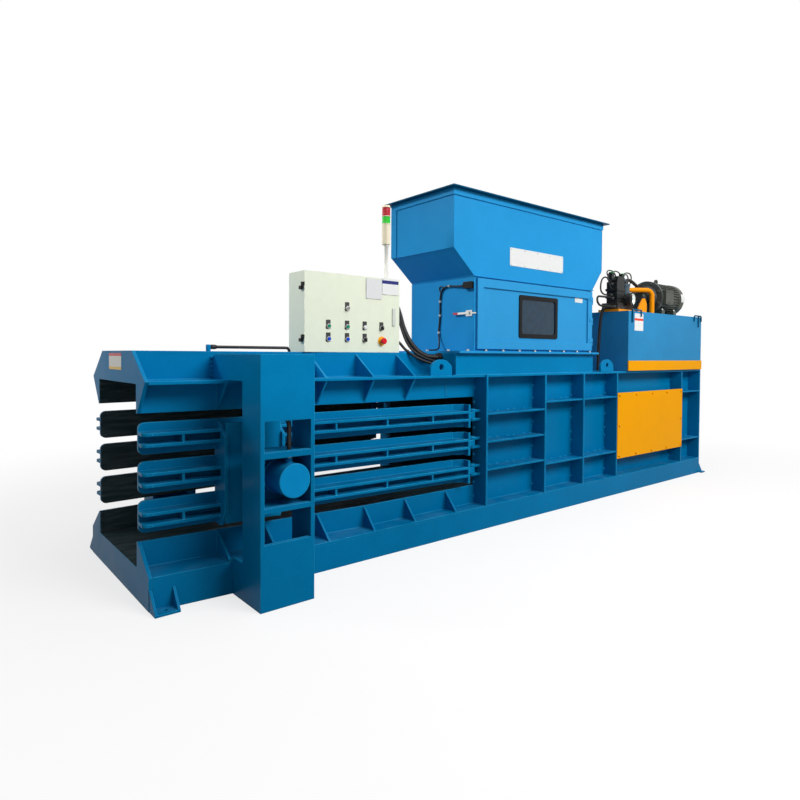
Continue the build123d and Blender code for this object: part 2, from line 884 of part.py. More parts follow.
with BuildPart() as lower_front:
    with BuildSketch(Plane.XZ.offset(-inner_front_y)):
        with Locations(((hopper_low_x + hopper_high_x) / 2, (flange_top + hopper_seam_level) / 2)):
            Rectangle(hopper_high_x - hopper_low_x, hopper_seam_level - flange_top)
        with Locations(((door_low_x + door_high_x) / 2, (door_low_z + door_high_z) / 2)):
            Rectangle(
                door_high_x - door_low_x - 2 * opening_margin,
                door_high_z - door_low_z - 2 * opening_margin,
                mode=Mode.SUBTRACT,
            )
    extrude(amount=hopper_sheet)
lower_hopper.append(lower_front.part)
write("hopper_lower", lower_hopper)

# Upper hopper: flared front, sloped and upright sides, edge straps, tie plate and rim
flare_low_x = hopper_low_x - hopper_left_flare
flare_high_x = hopper_high_x + hopper_flare
front_outline = [
    (hopper_low_x, hopper_seam_level),
    (hopper_high_x, hopper_seam_level),
    (flare_high_x, hopper_flare_level),
    (flare_high_x, hopper_top - rim_sheet),
    (flare_low_x, hopper_top - rim_sheet),
    (flare_low_x, hopper_flare_level),
]
left_slope = [
    (hopper_low_x, hopper_seam_level),
    (inner_low_x, hopper_seam_level),
    (flare_low_x + hopper_sheet, hopper_flare_level),
    (flare_low_x, hopper_flare_level),
]
right_slope = [
    (inner_high_x, hopper_seam_level),
    (hopper_high_x, hopper_seam_level),
    (flare_high_x, hopper_flare_level),
    (flare_high_x - hopper_sheet, hopper_flare_level),
]
under_rim = hopper_top - rim_sheet
strap = 60
tie_depth = 80
upper_hopper = [
    side_plate(front_outline, hopper_front_y, inner_front_y),
    side_plate(left_slope, inner_front_y, hopper_back_y),
    side_plate(right_slope, inner_front_y, hopper_back_y),
    block(
        (flare_low_x, inner_front_y, hopper_flare_level),
        (flare_low_x + hopper_sheet, hopper_back_y, under_rim),
    ),
    block(
        (flare_high_x - hopper_sheet, inner_front_y, hopper_flare_level),
        (flare_high_x, hopper_back_y, under_rim),
    ),
    block(
        (flare_low_x - hopper_sheet, hopper_back_y - strap, hopper_flare_level),
        (flare_low_x, hopper_back_y, under_rim),
    ),
    block(
        (flare_high_x, hopper_back_y - strap, hopper_flare_level),
        (flare_high_x + hopper_sheet, hopper_back_y, under_rim),
    ),
    block(
        (flare_low_x + hopper_sheet, inner_back_y, under_rim - tie_depth),
        (flare_high_x - hopper_sheet, hopper_back_y, under_rim),
    ),
    block(
        (hopper_low_x - 8, hopper_front_y - 12, hopper_seam_level - 4),
        (hopper_high_x + 8, hopper_front_y, hopper_seam_level + 4),
    ),
    block(
        (flare_low_x - rim_sheet, hopper_front_y - rim_sheet, under_rim - rim),
        (flare_high_x + rim_sheet, hopper_front_y, under_rim),
    ),
    block(
        (flare_low_x - rim_sheet, hopper_front_y, under_rim - rim),
        (flare_low_x, hopper_back_y - strap, under_rim),
    ),
    block(
        (flare_high_x, hopper_front_y, under_rim - rim),
        (flare_high_x + rim_sheet, hopper_back_y - strap, under_rim),
    ),
    block((flare_low_x - rim, hopper_front_y - rim, under_rim), (flare_high_x + rim, inner_front_y, hopper_top)),
    block((flare_low_x - rim, inner_back_y, under_rim), (flare_high_x + rim, hopper_back_y + rim, hopper_top)),
    block(
        (flare_low_x - rim, inner_front_y, under_rim),
        (flare_low_x + hopper_sheet, inner_back_y, hopper_top),
    ),
    block(
        (flare_high_x - hopper_sheet, inner_front_y, under_rim),
        (flare_high_x + rim, inner_back_y, hopper_top),
    ),
]
write("hopper_upper", upper_hopper)

# Hopper door: a framed panel with a window opening and the moving halves of its hinges
door_back_y = hopper_front_y
door_front_y = door_back_y - door_depth
hinge_barrel = 7
hinge_pin = 4
hinge_y = door_front_y + 6
knuckle_length = 30
hinge_leaf = 3
with BuildPart() as door_panel:
    add(block((door_low_x, door_front_y, door_low_z), (door_high_x, door_back_y - 0.3, door_high_z)))
    with BuildSketch(Plane.XZ.offset(-door_front_y)):
        with Locations(((door_low_x + door_high_x) / 2, (door_low_z + door_high_z) / 2)):
            Rectangle(door_high_x - door_low_x - 2 * door_frame, door_high_z - door_low_z - 2 * door_frame)
    extrude(amount=-(door_depth - door_web), mode=Mode.SUBTRACT)
    with BuildSketch(Plane.XZ.offset(-door_back_y)):
        with Locations((sum(window_x) / 2, sum(window_z) / 2)):
            Rectangle(window_x[1] - window_x[0], window_z[1] - window_z[0])
    extrude(amount=door_depth, mode=Mode.SUBTRACT)
door_pieces = [door_panel.part]
fixed_hinges = []
for z in door_hinge_levels:
    axis_plane = Plane(origin=(door_hinge_x, hinge_y, 0))
    with BuildPart() as moving_knuckle:
        with BuildSketch(Plane.XY.offset(z + 0.3)):
            with Locations((door_hinge_x, hinge_y)):
                Circle(hinge_barrel)
            with Locations(((door_hinge_x + door_high_x - 40) / 2, door_front_y - hinge_leaf / 2)):
                Rectangle(door_hinge_x - door_high_x + 40, hinge_leaf)
            with Locations((door_hinge_x, hinge_y)):
                Circle(hinge_pin + running_gap, mode=Mode.SUBTRACT)
        extrude(amount=knuckle_length)
    door_pieces.append(moving_knuckle.part)
    with BuildPart() as fixed_knuckle:
        with BuildSketch(Plane.XY.offset(z - knuckle_length)):
            with Locations((door_hinge_x, hinge_y)):
                Circle(hinge_barrel)
            with Locations((door_hinge_x + 4, (hinge_y + door_back_y) / 2)):
                Rectangle(7, door_back_y - hinge_y)
        extrude(amount=knuckle_length)
        with BuildSketch(Plane.XY.offset(z)):
            with Locations((door_hinge_x, hinge_y)):
                Circle(hinge_pin)
        extrude(amount=knuckle_length)
    fixed_hinges.append(fixed_knuckle.part)
write("hopper_door", door_pieces)
write("door_hinges", fixed_hinges)

# Window of the hopper door: a glass pane in its opening behind a black frame
web_front_y = door_back_y - door_web
pane_gap = 0.3
glass = block(
    (window_x[0] + pane_gap, web_front_y, window_z[0] + pane_gap),
    (window_x[1] - pane_gap, door_back_y - 1, window_z[1] - pane_gap),
)
write("window_glass", [glass])
with BuildPart() as window_frame:
    with BuildSketch(Plane.XZ.offset(-web_front_y)):
        with Locations((sum(window_x) / 2, sum(window_z) / 2)):
            RectangleRounded(
                window_x[1] - window_x[0] + window_band,
                window_z[1] - window_z[0] + window_band,
                15,
            )
            RectangleRounded(
                window_x[1] - window_x[0] - 2 * window_band,
                window_z[1] - window_z[0] - 2 * window_band,
                20,
                mode=Mode.SUBTRACT,
            )
    extrude(amount=8)
write("window_frame", [window_frame.part])

# Toggle latch on the hopper's left wall: base with two ears, pin and hook, and the lever
latch_x = hopper_low_x - 15
latch_y = hopper_front_y + 45
latch_level = door_low_z + 247
latch_half = 7
latch_ear = 6
latch_gap = 0.3
with BuildPart() as latch_base:
    add(block((hopper_low_x - 5, latch_y - 30, latch_level - 20), (hopper_low_x, latch_y + 30, latch_level + 20)))
    for z in [latch_level - latch_half - latch_gap - latch_ear, latch_level + latch_half + latch_gap]:
        with BuildSketch(Plane.XY.offset(z)):
            with Locations((latch_x, latch_y)):
                Circle(8)
            with Locations(((latch_x + hopper_low_x - 5) / 2, latch_y)):
                Rectangle(hopper_low_x - 5 - latch_x, 16)
        extrude(amount=latch_ear)
    with BuildSketch(Plane.XY.offset(latch_level - latch_half - latch_gap)):
        with Locations((latch_x, latch_y)):
            Circle(3)
    extrude(amount=2 * (latch_half + latch_gap))
latch_hook = plan_plate(
    [
        (hopper_low_x, latch_y - 30),
        (hopper_low_x - 8, latch_y - 30),
        (hopper_low_x - 8, hopper_front_y - 10),
        (hopper_low_x + 14, hopper_front_y - 10),
        (hopper_low_x + 14, hopper_front_y),
        (hopper_low_x, hopper_front_y),
    ],
    latch_level - 5,
    latch_level + 5,
)
write("latch_base", [latch_base.part, latch_hook])
with BuildPart() as latch_lever:
    with BuildSketch(Plane.XY.offset(latch_level - latch_half)):
        with Locations((latch_x, latch_y)):
            Circle(7)
        with Locations((latch_x - 3, latch_y + 70)):
            Rectangle(8, 140)
        with Locations((latch_x, latch_y)):
            Circle(3 + running_gap, mode=Mode.SUBTRACT)
    extrude(amount=2 * latch_half)
write("latch_lever", [latch_lever.part])

# Interlock switch by the top of the door, with the gland its cable leaves from
switch_y = hopper_front_y + 40
switch_level = door_high_z - 48
gland_radius = 8
with BuildPart() as interlock_switch:
    add(block((hopper_low_x - 32, switch_y - 32, switch_level - 24), (hopper_low_x, switch_y + 38, switch_level + 24)))
    fillet(interlock_switch.edges().filter_by(Axis.Y), 3)
    add(turned(
        [(0, switch_y + 36), (gland_radius, switch_y + 36), (gland_radius, switch_y + 60), (0, switch_y + 60)],
        Plane(origin=(hopper_low_x - 16, 0, switch_level), x_dir=(1, 0, 0), z_dir=(0, 1, 0)),
    ))
write("interlock_switch", [interlock_switch.part])

# Control cabinet: a sheet case with a mounting panel and its gear
with BuildPart() as cabinet_case:
    add(block((cabinet_low_x, cabinet_front_y, roof_level), (cabinet_high_x, cabinet_back_y, cabinet_top)))
    add(
        block(
            (cabinet_low_x + cabinet_sheet, cabinet_front_y, roof_level + cabinet_sheet),
            (cabinet_high_x - cabinet_sheet, cabinet_back_y - cabinet_sheet, cabinet_top - cabinet_sheet),
        ),
        mode=Mode.SUBTRACT,
    )
panel_y = cabinet_back_y - cabinet_sheet
panel_front_y = panel_y - 5
case_pieces = [
    cabinet_case.part,
    block((cabinet_low_x + 40, panel_front_y, roof_level + 40), (cabinet_high_x - 40, panel_y, cabinet_top - 40)),
]
for row, z in enumerate([roof_level + 110, roof_level + 230, roof_level + 350]):
    for column in range(5):
        x = cabinet_low_x + 90 + column * 110
        gear_depth = [70, 85, 60][row]
        case_pieces.append(block((x, panel_front_y - gear_depth, z - 40), (x + 80, panel_front_y, z + 40)))
cabinet_hinge_x = cabinet_low_x - 7
cabinet_hinge_y = cabinet_front_y - 3
door_hinge_pieces = []
for z in cabinet_hinge_levels:
    with BuildPart() as case_knuckle:
        with BuildSketch(Plane.XY.offset(z - 20)):
            with Locations((cabinet_hinge_x, cabinet_hinge_y)):
                Circle(6)
            with Locations((cabinet_low_x - 4, cabinet_front_y + 12)):
                Rectangle(8, 24)
        extrude(amount=20)
        with BuildSketch(Plane.XY.offset(z)):
            with Locations((cabinet_hinge_x, cabinet_hinge_y)):
                Circle(3)
        extrude(amount=20)
    case_pieces.append(case_knuckle.part)
    with BuildPart() as leaf_knuckle:
        with BuildSketch(Plane.XY.offset(z + 0.3)):
            with Locations((cabinet_hinge_x, cabinet_hinge_y)):
                Circle(6)
            with Locations((cabinet_low_x - 4, cabinet_hinge_y - 8)):
                Rectangle(8, 14)
            with Locations((cabinet_hinge_x, cabinet_hinge_y)):
                Circle(3 + running_gap, mode=Mode.SUBTRACT)
        extrude(amount=20)
    door_hinge_pieces.append(leaf_knuckle.part)
write("cabinet_box", case_pieces)

# Cabinet door: a folded pan
with BuildPart() as cabinet_door:
    add(block(
        (cabinet_low_x, cabinet_door_y, roof_level + 1),
        (cabinet_high_x, cabinet_front_y - 0.3, cabinet_top),
    ))
    add(
        block(
            (cabinet_low_x + cabinet_sheet, cabinet_door_y + cabinet_sheet, roof_level + 1 + cabinet_sheet),
            (cabinet_high_x - cabinet_sheet, cabinet_front_y, cabinet_top - cabinet_sheet),
        ),
        mode=Mode.SUBTRACT,
    )
write("cabinet_door", [cabinet_door.part] + door_hinge_pieces)

# Flush latch of the cabinet door, hinged at its top end
latch_plate_x = cabinet_high_x - 49
latch_plate_half = 12
latch_plate_top = roof_level + 286
latch_plate_low = roof_level + 175
latch_plate_depth = 6.6
with BuildPart() as cabinet_latch:
    with BuildSketch(Plane.YZ.offset(latch_plate_x - latch_plate_half)):
        pivot_y = cabinet_door_y - 0.3 - latch_plate_depth / 2
        with Locations((pivot_y, latch_plate_top)):
            Circle(latch_plate_depth / 2)
        with Locations((pivot_y, (latch_plate_top + latch_plate_low) / 2)):
            Rectangle(latch_plate_depth, latch_plate_top - latch_plate_low)
    extrude(amount=2 * latch_plate_half)
write("cabinet_latch", [cabinet_latch.part])

# Controls on the door: legend plates and bezels, caps, selectors and the stop button
legend_front = cabinet_door_y - legend_depth
bezel_front = legend_front - bezel_depth
cap_back = legend_front - cap_travel - 0.5
cap_front = bezel_front - cap_stand
stop_place = (control_columns[3] + 4, control_rows[0] - 6)
selector_places = [(control_columns[3], control_rows[1]), (control_columns[2], control_rows[0])]
key_place = (control_columns[1], key_level)
cap_places = {
    "green_button_1": (control_columns[0], control_rows[1]),
    "green_button_2": (control_columns[1], control_rows[1]),
    "white_button": (control_columns[2], control_rows[1]),
    "blue_button_1": (control_columns[0], control_rows[0]),
    "blue_button_2": (control_columns[1], control_rows[0]),
}


def facing(place, y):
    """A plane on the door that faces the operator, centred on one control"""
    return Plane(origin=(place[0], y, place[1]), x_dir=(1, 0, 0), z_dir=(0, -1, 0))


bezels = []
for place in list(cap_places.values()) + selector_places + [key_place]:
    with BuildPart() as bezel:
        with BuildSketch(facing(place, cabinet_door_y)):
            with Locations((0, 11)):
                RectangleRounded(32, 54, 3)
        extrude(amount=legend_depth)
        with BuildSketch(facing(place, legend_front)):
            Circle(bezel_outer)
            Circle(bezel_inner, mode=Mode.SUBTRACT)
        extrude(amount=bezel_depth)
    bezels.append(bezel.part)
stop_disc = 30
with BuildPart() as stop_bezel:
    with BuildSketch(facing(stop_place, cabinet_door_y)):
        Circle(stop_disc)
    extrude(amount=legend_depth)
    with BuildSketch(facing(stop_place, legend_front)):
        Circle(bezel_outer)
        Circle(bezel_inner, mode=Mode.SUBTRACT)
    extrude(amount=bezel_depth)
bezels.append(stop_bezel.part)
write("control_bezels", bezels)

for name, place in cap_places.items():
    with BuildPart() as cap:
        with BuildSketch(facing(place, cap_back)):
            Circle(cap_radius)
        extrude(amount=cap_back - cap_front)
        chamfer(cap.faces().sort_by(Axis.Y)[0].edges(), 1.5)
    write(name, [cap.part])

knob_front = bezel_front - 14
for number, place in enumerate(selector_places, 1):
    with BuildPart() as selector:
        with BuildSketch(facing(place, cap_back)):
            Circle(cap_radius)
        extrude(amount=cap_back - bezel_front + 2)
        with BuildSketch(facing(place, bezel_front - 2)):
            SlotOverall(26, 9, rotation=90)
        extrude(amount=12)
    write("selector_" + str(number), [selector.part])
with BuildPart() as key_switch:
    with BuildSketch(facing(key_place, cap_back)):
        Circle(cap_radius)
    extrude(amount=cap_back - bezel_front + 2)
    with BuildSketch(facing(key_place, bezel_front - 2)):
        Rectangle(3, 16)
    extrude(amount=20)
write("key_switch", [key_switch.part])
stop_head = 20
with BuildPart() as stop_button:
    with BuildSketch(facing(stop_place, cap_back)):
        Circle(cap_radius)
    extrude(amount=cap_back - bezel_front + 7)
    with BuildSketch(facing(stop_place, bezel_front - 7)):
        Circle(stop_head)
    extrude(amount=14)
    fillet(stop_button.faces().sort_by(Axis.Y)[0].edges(), 5)
write("stop_button", [stop_button.part])

# Signal tower on the cabinet
tower_plane = Plane(origin=(tower_place[0], tower_place[1], 0))
pole_radius = 10
stem_radius = 28
lamp_radius = 27
stem_profile = [
    (0, cabinet_top),
    (stem_radius, cabinet_top),
    (stem_radius, cabinet_top + 8),
    (pole_radius, cabinet_top + 8),
    (pole_radius, tower_levels[0]),
    (stem_radius, tower_levels[0]),
    (stem_radius, tower_levels[1]),
    (0, tower_levels[1]),
]
tower_cap = [
    (0, tower_levels[3]),
    (stem_radius, tower_levels[3]),
    (stem_radius - 4, tower_levels[4]),
    (0, tower_levels[4]),
]
write("tower_stem", [turned(stem_profile, tower_plane), turned(tower_cap, tower_plane)])
for name, low, high in [("lamp_green", 1, 2), ("lamp_red", 2, 3)]:
    lamp = [
        (0, tower_levels[low]),
        (lamp_radius, tower_levels[low]),
        (lamp_radius, tower_levels[high]),
        (0, tower_levels[high]),
    ]
    write(name, [turned(lamp, tower_plane)])

# Oil tank: welded shell, lid with a filler, and the rod hooks at its corners
hook_width = 150
under_lid = tank_top - tank_lid
with BuildPart() as tank_shell:
    add(block((tank_low_x, tank_near_y, top_level), (tank_high_x, tank_far_y, under_lid)))
    add(
        block(
            (tank_low_x + tank_sheet, tank_near_y + tank_sheet, top_level + tank_sheet),
            (tank_high_x - tank_sheet, tank_far_y - tank_sheet, under_lid),
        ),
        mode=Mode.SUBTRACT,
    )
with BuildPart() as tank_cover:
    add(block((tank_low_x, tank_near_y, under_lid), (tank_high_x, tank_far_y, tank_top)))
    with BuildSketch(Plane.XY.offset(tank_top)):
        with Locations((tank_low_x + 250, tank_far_y - 160)):
            Circle(45)
    extrude(amount=60)


def hook(x, leg):
    """A bent rod on the tank's front that reaches over the lid, with a flat bar that holds it"""
    rod = 7
    y = tank_near_y - rod
    with BuildPart() as bent:
        with BuildLine() as route:
            FilletPolyline(
                (x, y, tank_top - 45),
                (x, y, tank_top + 12),
                (x + hook_width, y, tank_top + 12),
                (x + hook_width, y, tank_top - 45),
                radius=18,
            )
        with BuildSketch(Plane(origin=route.line @ 0, z_dir=route.line % 0)):
            Circle(rod)
        sweep()
        add(block((x + leg - 9, y - 4, tank_top - 100), (x + leg + 9, tank_near_y, tank_top + 12)))
    return bent.part


hooks = [hook(tank_low_x + 55, 0), hook(tank_high_x - hook_width - 20, 95)]
write("tank", [tank_shell.part, tank_cover.part] + hooks)
band_sheet = 8
band = block(
    (tank_low_x - 4, tank_near_y - band_sheet, top_level + 4),
    (tank_high_x + 4, tank_near_y, top_level + 94),
)
write("tank_band", [band])

# Motor: finned stator with feet, terminal box and lifting eye, and the fan cover
motor_plane = Plane(origin=(0, motor_y, motor_z), x_dir=(0, 1, 0), z_dir=(1, 0, 0))
motor_flange = motor_radius + 10
fin_root = motor_radius - 14
fin_count = 36
fin_width = 4
cover_end = motor_high_x + 73
cover_radius = 152
cover_wall = 3
shaft_hole = shaft_radius + running_gap
with BuildPart() as stator:
    add(turned(
        [
            (shaft_hole, motor_low_x),
            (motor_flange, motor_low_x),
            (motor_flange, motor_low_x + 16),
            (motor_radius, motor_low_x + 16),
            (motor_radius, motor_low_x + 30),
            (fin_root, motor_low_x + 45),
            (fin_root, motor_high_x - 30),
            (cover_radius - cover_wall, motor_high_x - 20),
            (cover_radius - cover_wall, motor_high_x),
            (shaft_hole, motor_high_x),
        ],
        motor_plane,
    ))
    with BuildSketch(motor_plane.offset(motor_low_x + 38)):
        with PolarLocations(fin_root + 4, fin_count):
            Rectangle(20, fin_width)
    extrude(amount=motor_high_x - motor_low_x - 64)
    with BuildSketch(Plane.XY.offset(tank_top)):
        with Locations((motor_low_x + 85, motor_y), (motor_high_x - 85, motor_y)):
            Rectangle(55, 250)
    extrude(amount=45)
    with BuildSketch(Plane.XY.offset(tank_top + 40)):
        with Locations((motor_low_x + 85, motor_y), (motor_high_x - 85, motor_y)):
            Rectangle(40, 190)
    extrude(amount=60)
    with BuildSketch(Plane.XZ.offset(-motor_y + fin_root - 20)):
        with Locations((motor_low_x + 95, motor_z)):
            RectangleRounded(150, 140, 8)
    extrude(amount=68)
    with BuildSketch(Plane.XZ.offset(-motor_y)):
        with Locations((motor_low_x + 175, motor_z + fin_root + 32)):
            Circle(24)
            Circle(12, mode=Mode.SUBTRACT)
    extrude(amount=8, both=True)
fan_cover = turned(
    [
        (cover_radius - cover_wall, motor_high_x - 20),
        (cover_radius, motor_high_x - 20),
        (cover_radius, cover_end - 25),
        (cover_radius - 25, cover_end),
        (60, cover_end),
        (60, cover_end - cover_wall),
        (cover_radius - 26, cover_end - cover_wall),
        (cover_radius - cover_wall, cover_end - 26),
    ],
    motor_plane,
)
with BuildPart() as cover_grille:
    with BuildSketch(motor_plane.offset(cover_end - cover_wall)):
        with PolarLocations(32, 8):
            Rectangle(56.2, 4)
        Circle(14)
    extrude(amount=cover_wall)
write("motor", [stator.part, fan_cover, cover_grille.part])

# Motor shaft with the cooling fan
fan_low_x = motor_high_x + 12
fan_depth = 40
coupling_end = motor_low_x - 40
with BuildPart() as motor_fan:
    add(turned(
        [(0, coupling_end), (shaft_radius, coupling_end), (shaft_radius, fan_low_x), (0, fan_low_x)],
        motor_plane,
    ))
    add(turned(
        [(0, fan_low_x), (50, fan_low_x), (50, fan_low_x + fan_depth), (0, fan_low_x + fan_depth)],
        motor_plane,
    ))
    with BuildSketch(motor_plane.offset(fan_low_x)):
        with PolarLocations(88, 7):
            Rectangle(86, 4)
    extrude(amount=fan_depth - 5)
write("motor_fan", [motor_fan.part])

# Pump set: bellhousing and gear pump in front of the motor
bell_low_x = motor_low_x - 60
bell_outer = motor_flange
bell_ring = 18
pump_radius = 60
pump_length = 100
pump_low_x = bell_low_x - pump_length
pump_set = turned(
    [
        (60, bell_low_x + 15),
        (60, motor_low_x),
        (bell_outer, motor_low_x),
        (bell_outer, motor_low_x - bell_ring),
        (115, motor_low_x - bell_ring - 6),
        (85, bell_low_x),
        (pump_radius, bell_low_x),
        (pump_radius, pump_low_x + 15),
        (pump_radius - 12, pump_low_x),
        (0, pump_low_x),
        (0, bell_low_x + 15),
    ],
    motor_plane,
)
write("pump_set", [pump_set])

# Valve manifold: block, valve body with two solenoids and their plugs, cartridges and the filter bowl
valve_low = (manifold_low[0] + 20, manifold_low[1] + 20, manifold_high[2])
valve_high = (valve_low[0] + 125, valve_low[1] + 105, manifold_high[2] + valve_height)
valve_y = (valve_low[1] + valve_high[1]) / 2
coil_x = (valve_low[0] + valve_high[0]) / 2 + 15
coil_z = valve_high[2] + 27
coil_radius = 25
coil_length = 62
coil_half = 55
filter_place = (manifold_high[0] - 25, (manifold_low[1] + manifold_high[1]) / 2 - 15)
filter_top = manifold_high[2] + 190
coil_plane = Plane(origin=(0, valve_y, coil_z), x_dir=(0, 1, 0), z_dir=(1, 0, 0))
cartridges = [(manifold_high[0] - 90, manifold_low[1] + 28), (manifold_high[0] - 90, manifold_high[1] - 28)]
with BuildPart() as manifold:
    add(block(manifold_low, manifold_high))
    add(block(valve_low, valve_high))
    for z in [valve_low[2] + 45, valve_low[2] + 110]:
        add(block((valve_low[0] - 8, valve_low[1] - 8, z), (valve_high[0] + 8, valve_high[1] + 8, z + 22)))
    coil_body_low = (coil_x - coil_half, valve_low[1] + 8, valve_high[2])
    add(block(coil_body_low, (coil_x + coil_half, valve_high[1] - 8, coil_z + 23)))
    for end in [coil_x - coil_half - coil_length, coil_x + coil_half]:
        add(turned([(0, end), (coil_radius, end), (coil_radius, end + coil_length), (0, end + coil_length)], coil_plane))
        plug_low = (end + 12, valve_y - 18, coil_z + coil_radius - 6)
        add(block(plug_low, (end + coil_length - 12, valve_y + 18, coil_z + coil_radius + 30)))
    with BuildSketch(Plane.XY.offset(manifold_high[2])):
        with Locations(*cartridges):
            RegularPolygon(24, 6)
    extrude(amount=34)
    with BuildSketch(Plane.XY.offset(manifold_high[2] + 34)):
        with Locations(*cartridges):
            Circle(16)
    extrude(amount=52)
filter_bowl = turned(
    [
        (0, manifold_high[2]),
        (filter_radius, manifold_high[2]),
        (filter_radius, filter_top - 22),
        (filter_radius + 5, filter_top - 22),
        (filter_radius + 5, filter_top - 6),
        (filter_radius - 8, filter_top),
        (0, filter_top),
    ],
    Plane(origin=(filter_place[0], filter_place[1], 0)),
)
write("manifold", [manifold.part, filter_bowl])

# Pressure gauge in front of the manifold on its neck, and its needle
gauge_place = (manifold_high[0] - 114, manifold_high[2] + 35)
gauge_depth = 40
gauge_neck = 20
gauge_back_y = manifold_low[1] - gauge_neck
gauge_front_y = gauge_back_y - gauge_depth
gauge_recess = 6
with BuildPart() as gauge:
    with BuildSketch(facing(gauge_place, gauge_back_y)):
        Circle(gauge_radius)
    extrude(amount=gauge_depth)
    with BuildSketch(facing(gauge_place, gauge_front_y)):
        Circle(gauge_radius - gauge_recess)
    extrude(amount=-gauge_recess, mode=Mode.SUBTRACT)
    with BuildSketch(facing((gauge_place[0], manifold_high[2] - 12), manifold_low[1])):
        Circle(9)
    extrude(amount=gauge_neck)
write("gauge", [gauge.part])
needle_gap = 0.3
with BuildPart() as gauge_needle:
    with BuildSketch(facing(gauge_place, gauge_front_y + gauge_recess - needle_gap)):
        with Locations((0, 14)):
            Rectangle(3, 50)
        Circle(5)
    extrude(amount=2)
write("gauge_needle", [gauge_needle.part])

# Orange pipework: base plate of the manifold, the bent return pipe and its bracket
pipe_y = tank_near_y + 65
pipe_x = bell_low_x - 33
pipe_z = filter_top - 50
pipe_start_x = filter_place[0] + filter_radius
with BuildPart() as return_pipe:
    with BuildLine() as pipe_route:
        FilletPolyline(
            (pipe_start_x, filter_place[1], pipe_z),
            (pipe_start_x + 35, filter_place[1], pipe_z),
            (pipe_x, pipe_y, pipe_z),
            (pipe_x, pipe_y, tank_top),
            radius=(90, 55),
        )
    with BuildSketch(Plane(origin=pipe_route.line @ 0, z_dir=pipe_route.line % 0)):
        Circle(pipe_radius)
    sweep()
base_margin = 22
base_low = (manifold_low[0] - base_margin, manifold_low[1] - base_margin, tank_top)
base_high = (manifold_high[0] + base_margin, manifold_high[1] + base_margin, manifold_low[2])
bracket_right = pipe_x - 97
bracket = side_plate(
    [
        (bracket_right - 157, tank_top),
        (bracket_right, tank_top),
        (bracket_right, tank_top + 90),
        (bracket_right - 32, tank_top + 135),
        (bracket_right - 70, tank_top + 135),
        (bracket_right - 145, tank_top + 45),
    ],
    pipe_y - 2,
    pipe_y + 10,
)
write("pipework", [return_pipe.part, block(base_low, base_high), bracket])


def corner_radii(points):
    """The largest even arcs that the runs of a route leave room for"""
    radii = []
    for before, corner, after in zip(points, points[1:], points[2:]):
        arrive = Vector(*corner) - Vector(*before)
        leave = Vector(*after) - Vector(*corner)
        half_turn = radians(arrive.get_angle(leave)) / 2
        radii.append(0.45 * min(arrive.length, leave.length) / tan(half_turn))
    return radii


def cord(name, points, radius):
    """A hose or cable swept along straight runs joined by arcs"""
    radii = corner_radii(points)
    with BuildPart() as tube:
        with BuildLine() as route:
            FilletPolyline(*points, radius=radii)
        with BuildSketch(Plane(origin=route.line @ 0, z_dir=route.line % 0)):
            Circle(radius)
        sweep()
    length = sum(edge.length for edge in route.line.edges())
    print(name, "length", round(length), "radii", [round(r) for r in radii])
    return tube.part


# Hoses of the squeeze cylinders, from the port to the column's left plate
hose_radius = 11
hose_points = [
    (squeeze_x, port_y, port_top),
    (squeeze_x, port_y, port_top + 55),
    (squeeze_x, port_y + 2, port_top + 110),
    (squeeze_x - 18, port_y + 10, port_top + 158),
    (squeeze_x - 62, port_y + 20, port_top + 188),
    (squeeze_x - 112, port_y + 26, port_top + 195),
    (left_inner_x, port_y + 26, port_top + 195),
]
near_hose = cord("near_hose", hose_points, hose_radius)
write("near_hose", [near_hose])
write("far_hose", [far(near_hose)])

# Pipe along the roof from its block over the portal to the elbow by the cabinet
roof_pipe_radius = 11
roof_pipe_y = -300
with BuildPart() as roof_pipe:
    with BuildLine() as roof_route:
        FilletPolyline(
            (portal_x + 70, roof_pipe_y, roof_level + 24),
            (cabinet_low_x - 62, roof_pipe_y, roof_level + 24),
            (cabinet_low_x - 62, roof_pipe_y, roof_level),
            radius=15,
        )
    with BuildSketch(Plane(origin=roof_route.line @ 0, z_dir=roof_route.line % 0)):
        Circle(roof_pipe_radius)
    sweep()
fitting_low = (portal_x + 20, roof_pipe_y - 20, roof_level)
roof_fitting = block(fitting_low, (portal_x + 70, roof_pipe_y + 20, roof_level + 44))
write("squeeze_pipe", [roof_fitting, roof_pipe.part])

# Conduit from the cabinet's right side to the collar, and the interlock's cable
conduit_points = [
    (cabinet_high_x, -290, 1560),
    (cabinet_high_x + 60, -290, 1560),
    (cabinet_high_x + 105, -305, 1490),
    (cabinet_high_x + 117, -330, 1400),
    (cabinet_high_x + 135, -370, 1320),
    (cabinet_high_x + 170, -410, 1262),
    (cabinet_high_x + 220, -432, 1222),
    (cabinet_high_x + 265, -436, 1200),
    (collar_low_x, -436, 1200),
]
write("conduit", [cord("conduit", conduit_points, 20)])
cable_x = hopper_low_x - 16
cable_points = [
    (cable_x, switch_y + 60, switch_level),
    (cable_x, switch_y + 120, switch_level),
    (cable_x + 4, switch_y + 180, switch_level + 8),
    (cable_x + 6, switch_y + 235, switch_level + 2),
    (cable_x + 7, switch_y + 272, switch_level - 30),
    (cable_x + 8, switch_y + 285, switch_level - 90),
    (cable_x + 9, switch_y + 290, switch_level - 165),
    (cable_x + 9, switch_y + 296, switch_level - 240),
    (cable_x + 8, switch_y + 312, switch_level - 310),
    (cable_x + 4, switch_y + 300, switch_level - 370),
    (cable_x - 20, switch_y + 270, switch_level - 420),
    (cable_x - 60, switch_y + 235, switch_level - 441),
    (cable_x - 110, switch_y + 220, flange_top + 5),
    (collar_low_x, switch_y + 215, flange_top + 5),
]
write("interlock_cable", [cord("interlock_cable", cable_points, 4)])

